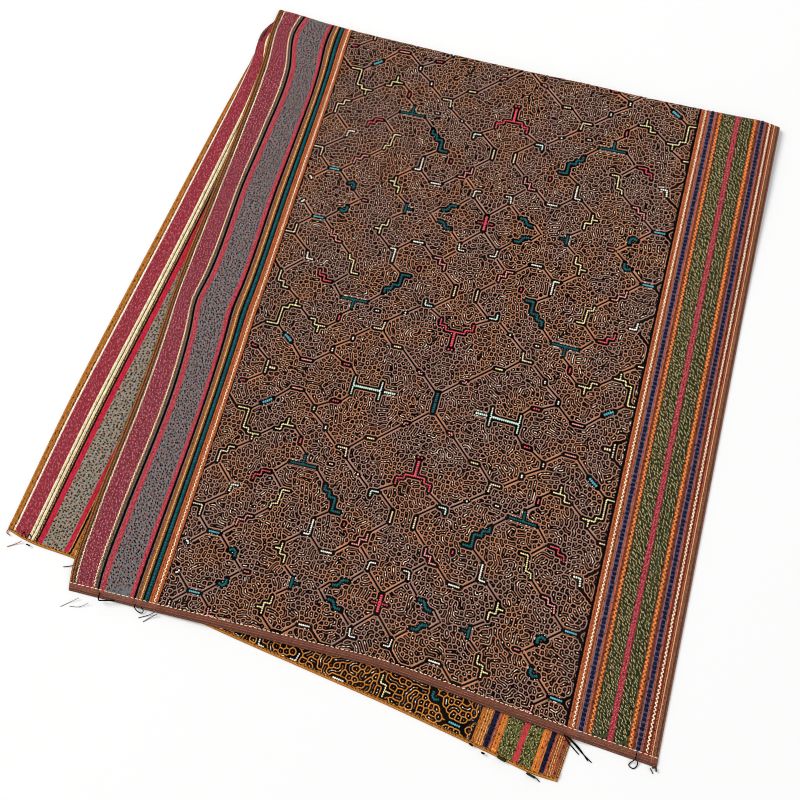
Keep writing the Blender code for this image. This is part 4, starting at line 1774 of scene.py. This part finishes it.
def make_lower_field(materials):
    """The ochre net, what it encloses and the figures of face B, where the lower layer shows."""
    field = LOWER_FIELD
    grown = grown_lines(field)
    shapes = []
    for line in LOWER_LINES:
        paths = line_paths(field, line, grown)
        seen = shows(*middles_of(paths).T * MM)
        shapes.append(ridges(list(compress(paths, seen)), line, FACE_B)[0])
    shapes += lower_grains(figure_stitches(field.first, field.last))
    return new_piece("lower_field", shapes, materials)


# The hems

class HemRow(NamedTuple):
    """A row of stitches along a hem, in millimetres: its place from the hem, and its stitches."""

    from_hem: float
    colour: str
    pitch: float
    length: float
    width: float
    turn: float


UPPER_HEM_ROWS = [
    HemRow(9.4, "cream", pitch=5.2, length=4.4, width=1.0, turn=90),
    HemRow(6.4, "umber", pitch=3.4, length=4.6, width=1.2, turn=80),
    HemRow(4.0, "umber", pitch=3.4, length=4.6, width=1.2, turn=85),
    HemRow(1.4, "umber", pitch=2.8, length=2.8, width=1.2, turn=65),
]
LOWER_HEM_ROWS = [
    HemRow(3.0, "dark brown", pitch=4.6, length=3.4, width=1.0, turn=75),
    HemRow(1.4, "ochre", pitch=2.4, length=3.4, width=1.6, turn=65),
]


# In millimetres and degrees
HEM_END = 2.0
HEM_TURN_JITTER = 5
HEM_STITCH_HEIGHT = 0.45
HEM_SEED = 21


def hem_stitches(row, at_upper, random):
    """The stitches of one hem row."""
    across = np.arange(HEM_END, CLOTH_WIDTH / MM - HEM_END, row.pitch)
    across = across + random.uniform(-ALONG_JITTER, ALONG_JITTER, len(across)) * row.pitch
    from_hem = np.full(len(across), row.from_hem * MM)
    return Stitches(
        across=across * MM,
        along=from_hem if at_upper else CLOTH_LENGTH - from_hem,
        turn=np.radians(row.turn + random.normal(0, HEM_TURN_JITTER, len(across))),
        length=row.length * MM,
        width=row.width * MM,
        height=HEM_STITCH_HEIGHT * MM,
        colour=row.colour,
    )


def make_hems(materials):
    """The stitched hems of both layers."""
    random = np.random.default_rng(HEM_SEED)
    shapes = [grains(hem_stitches(row, True, random), FACE_A) for row in UPPER_HEM_ROWS]
    shapes += [grains(hem_stitches(row, False, random), FACE_B) for row in LOWER_HEM_ROWS]
    return new_piece("hems", shapes, materials)


# Loose ends of thread, in the frame of the CAD model

class Tail(NamedTuple):
    """A loose end of thread: its colour, half its width, and its path, in millimetres."""

    colour: str
    radius: float
    path: list


TAILS = [
    Tail("umber", 0.45, [(-357, -341, 3), (-365, -346.5, 0.8), (-373.5, -352, 0.5)]),
    Tail("moss", 0.45, [(-284.5, -349.5, 3), (-292, -353, 0.8), (-299, -355.5, 0.5)]),
    Tail("black", 0.25, [(-266, -382.5, 3), (-276, -390, 0.6), (-285.5, -398, 0.4)]),
    Tail("black", 0.25, [(-253, -384.5, 3), (-263.5, -392, 0.6), (-275.5, -394.5, 0.4)]),
    Tail("black", 0.75, [
        (-243.5, -370, 6.2), (-242, -378, 6.2),
        (-236.5, -377.5, 6.2), (-223, -373.5, 6.2),
    ]),
    Tail("black", 0.6, [
        (-198.5, -371, 6), (-199.5, -374.5, 5), (-195.5, -378, 3),
        (-191, -379, 1.5), (-189, -376, 2.5), (-192, -372.5, 4.5),
    ]),
    Tail("black", 0.4, [(-175, -373.5, 4), (-182.5, -379, 1), (-193, -385, 0.5)]),
    Tail("black", 0.4, [(-172, -375, 4), (-179.5, -381, 1), (-186, -387.5, 0.5)]),
    Tail("black", 0.6, [(284.5, -371.5, 6), (290.5, -378, 3), (297, -382.5, 0.7), (304, -387, 0.6)]),
    Tail("black", 0.6, [(286.5, -372, 6), (296.5, -378, 2.5), (306.5, -384.5, 0.7), (318, -391, 0.6)]),
    Tail("black", 0.6, [(288, -372.5, 6), (301.5, -380, 1.2), (314, -390.5, 0.6)]),
    Tail("black", 0.55, [
        (358, -368.5, 6), (358, -375, 4), (354.5, -380, 1), (354, -383, 0.6),
        (358.5, -384.5, 0.6), (361.5, -381, 0.8), (361, -376, 3),
    ]),
    Tail("dark brown", 0.5, [(374, -379, 2), (378.5, -384, 0.5)]),
    Tail("dark brown", 0.5, [(267.5, -420.5, 1.5), (272, -423.5, 0.5)]),
    Tail("moss", 1.6, [(224.5, -411.5, 3.8), (234.5, -413.5, 3.8)]),
    Tail("moss", 1.2, [(256.5, -418.5, 3.4), (267, -420.5, 3.4)]),
    Tail("orange", 1.5, [(217.5, -405.5, 4), (222.5, -407, 4)]),
    Tail("black", 1.0, [(208, -412.5, 3.4), (212, -413, 3.4)]),
    Tail("black", 1.0, [(194, -407.5, 3.6), (198.5, -409, 3.6)]),
    Tail("black", 0.45, [
        (-360, -337, 3), (-358.5, -330.5, 3), (-353.5, -336.5, 3),
        (-350.5, -331, 3), (-347, -336, 3),
    ]),
    Tail("black", 0.8, [(-351, -343, 2.6), (-345.5, -343.5, 2.6)]),
    Tail("umber", 0.6, [
        (-374.5, -331, 2.4), (-379.5, -333.5, 1.5), (-379.5, -337, 1.2), (-374.5, -338.5, 1.8),
    ]),
    Tail("dark brown", 0.9, [(-312, 176.5, 6), (-311, 177, 6)]),
    Tail("dark brown", 0.8, [(375.5, -378.5, 3), (379.5, -377.5, 2.5), (380.5, -381, 2)]),
]
TAIL_STEPS = 6
TAIL_SIDES = 6
TAIL_END_SHARE = 0.4


def rounded_path(path):
    """A path with its corners rounded, through all of its points."""
    points = np.array([path[0], *path, path[-1]])
    made = []
    for number in range(1, len(points) - 2):
        before, start, end, after = points[number - 1:number + 3]
        for share in np.arange(TAIL_STEPS) / TAIL_STEPS:
            swing = (end - before) * share * (1 - share) ** 2 - (after - start) * share ** 2 * (1 - share)
            blend = share * share * (3 - 2 * share)
            made.append(start + (end - start) * blend + swing / 2)
    return np.array(made + [points[-1]])


def tail_shape(tail):
    """A round thread along a tail's path, a little thinner at its ends."""
    path = rounded_path(tail.path) * MM
    ahead = np.gradient(path, axis=0)
    ahead /= np.linalg.norm(ahead, axis=1, keepdims=True)
    side = np.cross(ahead, (0.0, 0.0, 1.0))
    side /= np.linalg.norm(side, axis=1, keepdims=True)
    upward = np.cross(side, ahead)
    turn = np.arange(TAIL_SIDES) * 2 * math.pi / TAIL_SIDES
    around = np.cos(turn)[:, None] * side[:, None] + np.sin(turn)[:, None] * upward[:, None]
    radius = np.full(len(path), tail.radius * MM)
    radius[[0, -1]] *= TAIL_END_SHARE
    points = path[:, None] + around * radius[:, None, None]
    points[..., 2] = np.maximum(points[..., 2], 0)
    starts = np.arange(len(path) - 1) * TAIL_SIDES
    ring = np.arange(TAIL_SIDES)
    ends = np.stack([ring[::-1], ring + len(starts) * TAIL_SIDES])
    faces = [ring_walls(starts, TAIL_SIDES), ends]
    reached = np.append(0, np.cumsum(np.linalg.norm(np.diff(path, axis=0), axis=1)))
    thread = np.stack(np.broadcast_arrays(reached[:, None], np.cos(turn)), axis=-1).reshape(-1, 2)
    return Shape(points.reshape(-1, 3), thread, faces, [THREAD_NUMBERS[tail.colour]] * 2)


def make_tails(materials):
    """The loose ends, loops and knots at the hems."""
    return new_piece("thread_tails", [tail_shape(tail) for tail in TAILS], materials)


# The camera, the light and the floor

CAMERA_TARGET = Vector((0.0240, -0.0694, 0.0))
CAMERA_AZIMUTH = math.radians(35.17)
CAMERA_ELEVATION = math.radians(73.11)
CAMERA_ROLL = math.radians(-20.26)
CAMERA_DISTANCE = 0.993
CAMERA_LENS = 38.4
SENSOR = 36.0
NEAREST_SEEN = 0.01


def camera_axes():
    """The camera's right, up and backward directions."""
    flat = math.cos(CAMERA_ELEVATION)
    back = Vector((
        flat * math.sin(CAMERA_AZIMUTH),
        -flat * math.cos(CAMERA_AZIMUTH),
        math.sin(CAMERA_ELEVATION),
    ))
    level = (-back).cross(Vector((0, 0, 1))).normalized()
    upright = level.cross(-back)
    right = math.cos(CAMERA_ROLL) * level + math.sin(CAMERA_ROLL) * upright
    up = -math.sin(CAMERA_ROLL) * level + math.cos(CAMERA_ROLL) * upright
    return right, up, back


def make_camera():
    """The camera at the photograph's viewing angle."""
    right, up, back = camera_axes()
    camera = new_object("camera", bpy.data.cameras.new("camera"))
    camera.data.sensor_width = SENSOR
    camera.data.lens = CAMERA_LENS
    camera.data.clip_start = NEAREST_SEEN
    camera.matrix_world = Matrix((right, up, back)).transposed().to_4x4()
    camera.location = CAMERA_TARGET + back * CAMERA_DISTANCE
    bpy.context.scene.camera = camera


class Lamp(NamedTuple):
    """A square soft light, placed by the camera's directions, in metres and watts."""

    name: str
    right: float
    up: float
    back: float
    side: float
    power: float


LAMPS = [
    Lamp(name="key", right=-10.0, up=8.8, back=6.8, side=6.4, power=1720.0),
    Lamp(name="fill", right=8.4, up=-3.0, back=12.0, side=12.0, power=360.0),
]
SKY_STRENGTH = 0.62
FLOOR_SIDE = 8.0
FILTER_WIDTH = 1.0
FLOOR_COLOUR = (0.832, 0.832, 0.829, 1.0)
FLOOR_GRAIN_SCALE = 40.0
FLOOR_RELIEF = 0.2 * MM
FLOOR_BUMP = 0.1


def make_lamps():
    """Even daylight, a little stronger from the upper left."""
    right, up, back = camera_axes()
    for lamp in LAMPS:
        data = bpy.data.lights.new(lamp.name, "AREA")
        data.shape = "SQUARE"
        data.size = lamp.side
        data.energy = lamp.power
        light = new_object(lamp.name, data)
        offset = right * lamp.right + up * lamp.up + back * lamp.back
        light.location = CAMERA_TARGET + offset
        light.rotation_euler = offset.to_track_quat("Z", "Y").to_euler()
    world = bpy.data.worlds.new("sky")
    world.use_nodes = True
    sky = world.node_tree.nodes["Background"]
    sky.inputs["Color"].default_value = (1.0, 1.0, 1.0, 1.0)
    sky.inputs["Strength"].default_value = SKY_STRENGTH
    bpy.context.scene.world = world


def make_floor():
    """A plain pale floor."""
    half = FLOOR_SIDE / 2
    mesh = bpy.data.meshes.new("floor")
    corners = [(-half, -half, 0), (half, -half, 0), (half, half, 0), (-half, half, 0)]
    mesh.from_pydata(corners, [], [(0, 1, 2, 3)])
    nodes = Nodes("floor")
    place = nodes.add("ShaderNodeTexCoord").outputs["Object"]
    nodes.shader.inputs["Base Color"].default_value = FLOOR_COLOUR
    nodes.bump(nodes.noise(place, FLOOR_GRAIN_SCALE), FLOOR_RELIEF, FLOOR_BUMP)
    mesh.materials.append(nodes.material)
    new_object("floor", mesh)


def main():
    """Makes the stage and every piece, and says what each piece rides on."""
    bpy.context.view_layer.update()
    make_camera()
    make_lamps()
    make_floor()
    bpy.context.scene.view_settings.view_transform = "Standard"
    bpy.context.scene.cycles.filter_width = FILTER_WIDTH
    materials = [thread_material(name) for name in THREADS]
    ground = make_ground()
    threads = make_maze(materials) + make_bands(materials)
    threads += [make_figures(materials), make_lower_field(materials), make_hems(materials)]
    threads.append(make_tails(materials))
    for piece in [ground, *threads]:
        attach(piece, "root")
    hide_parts("cloth")


main()
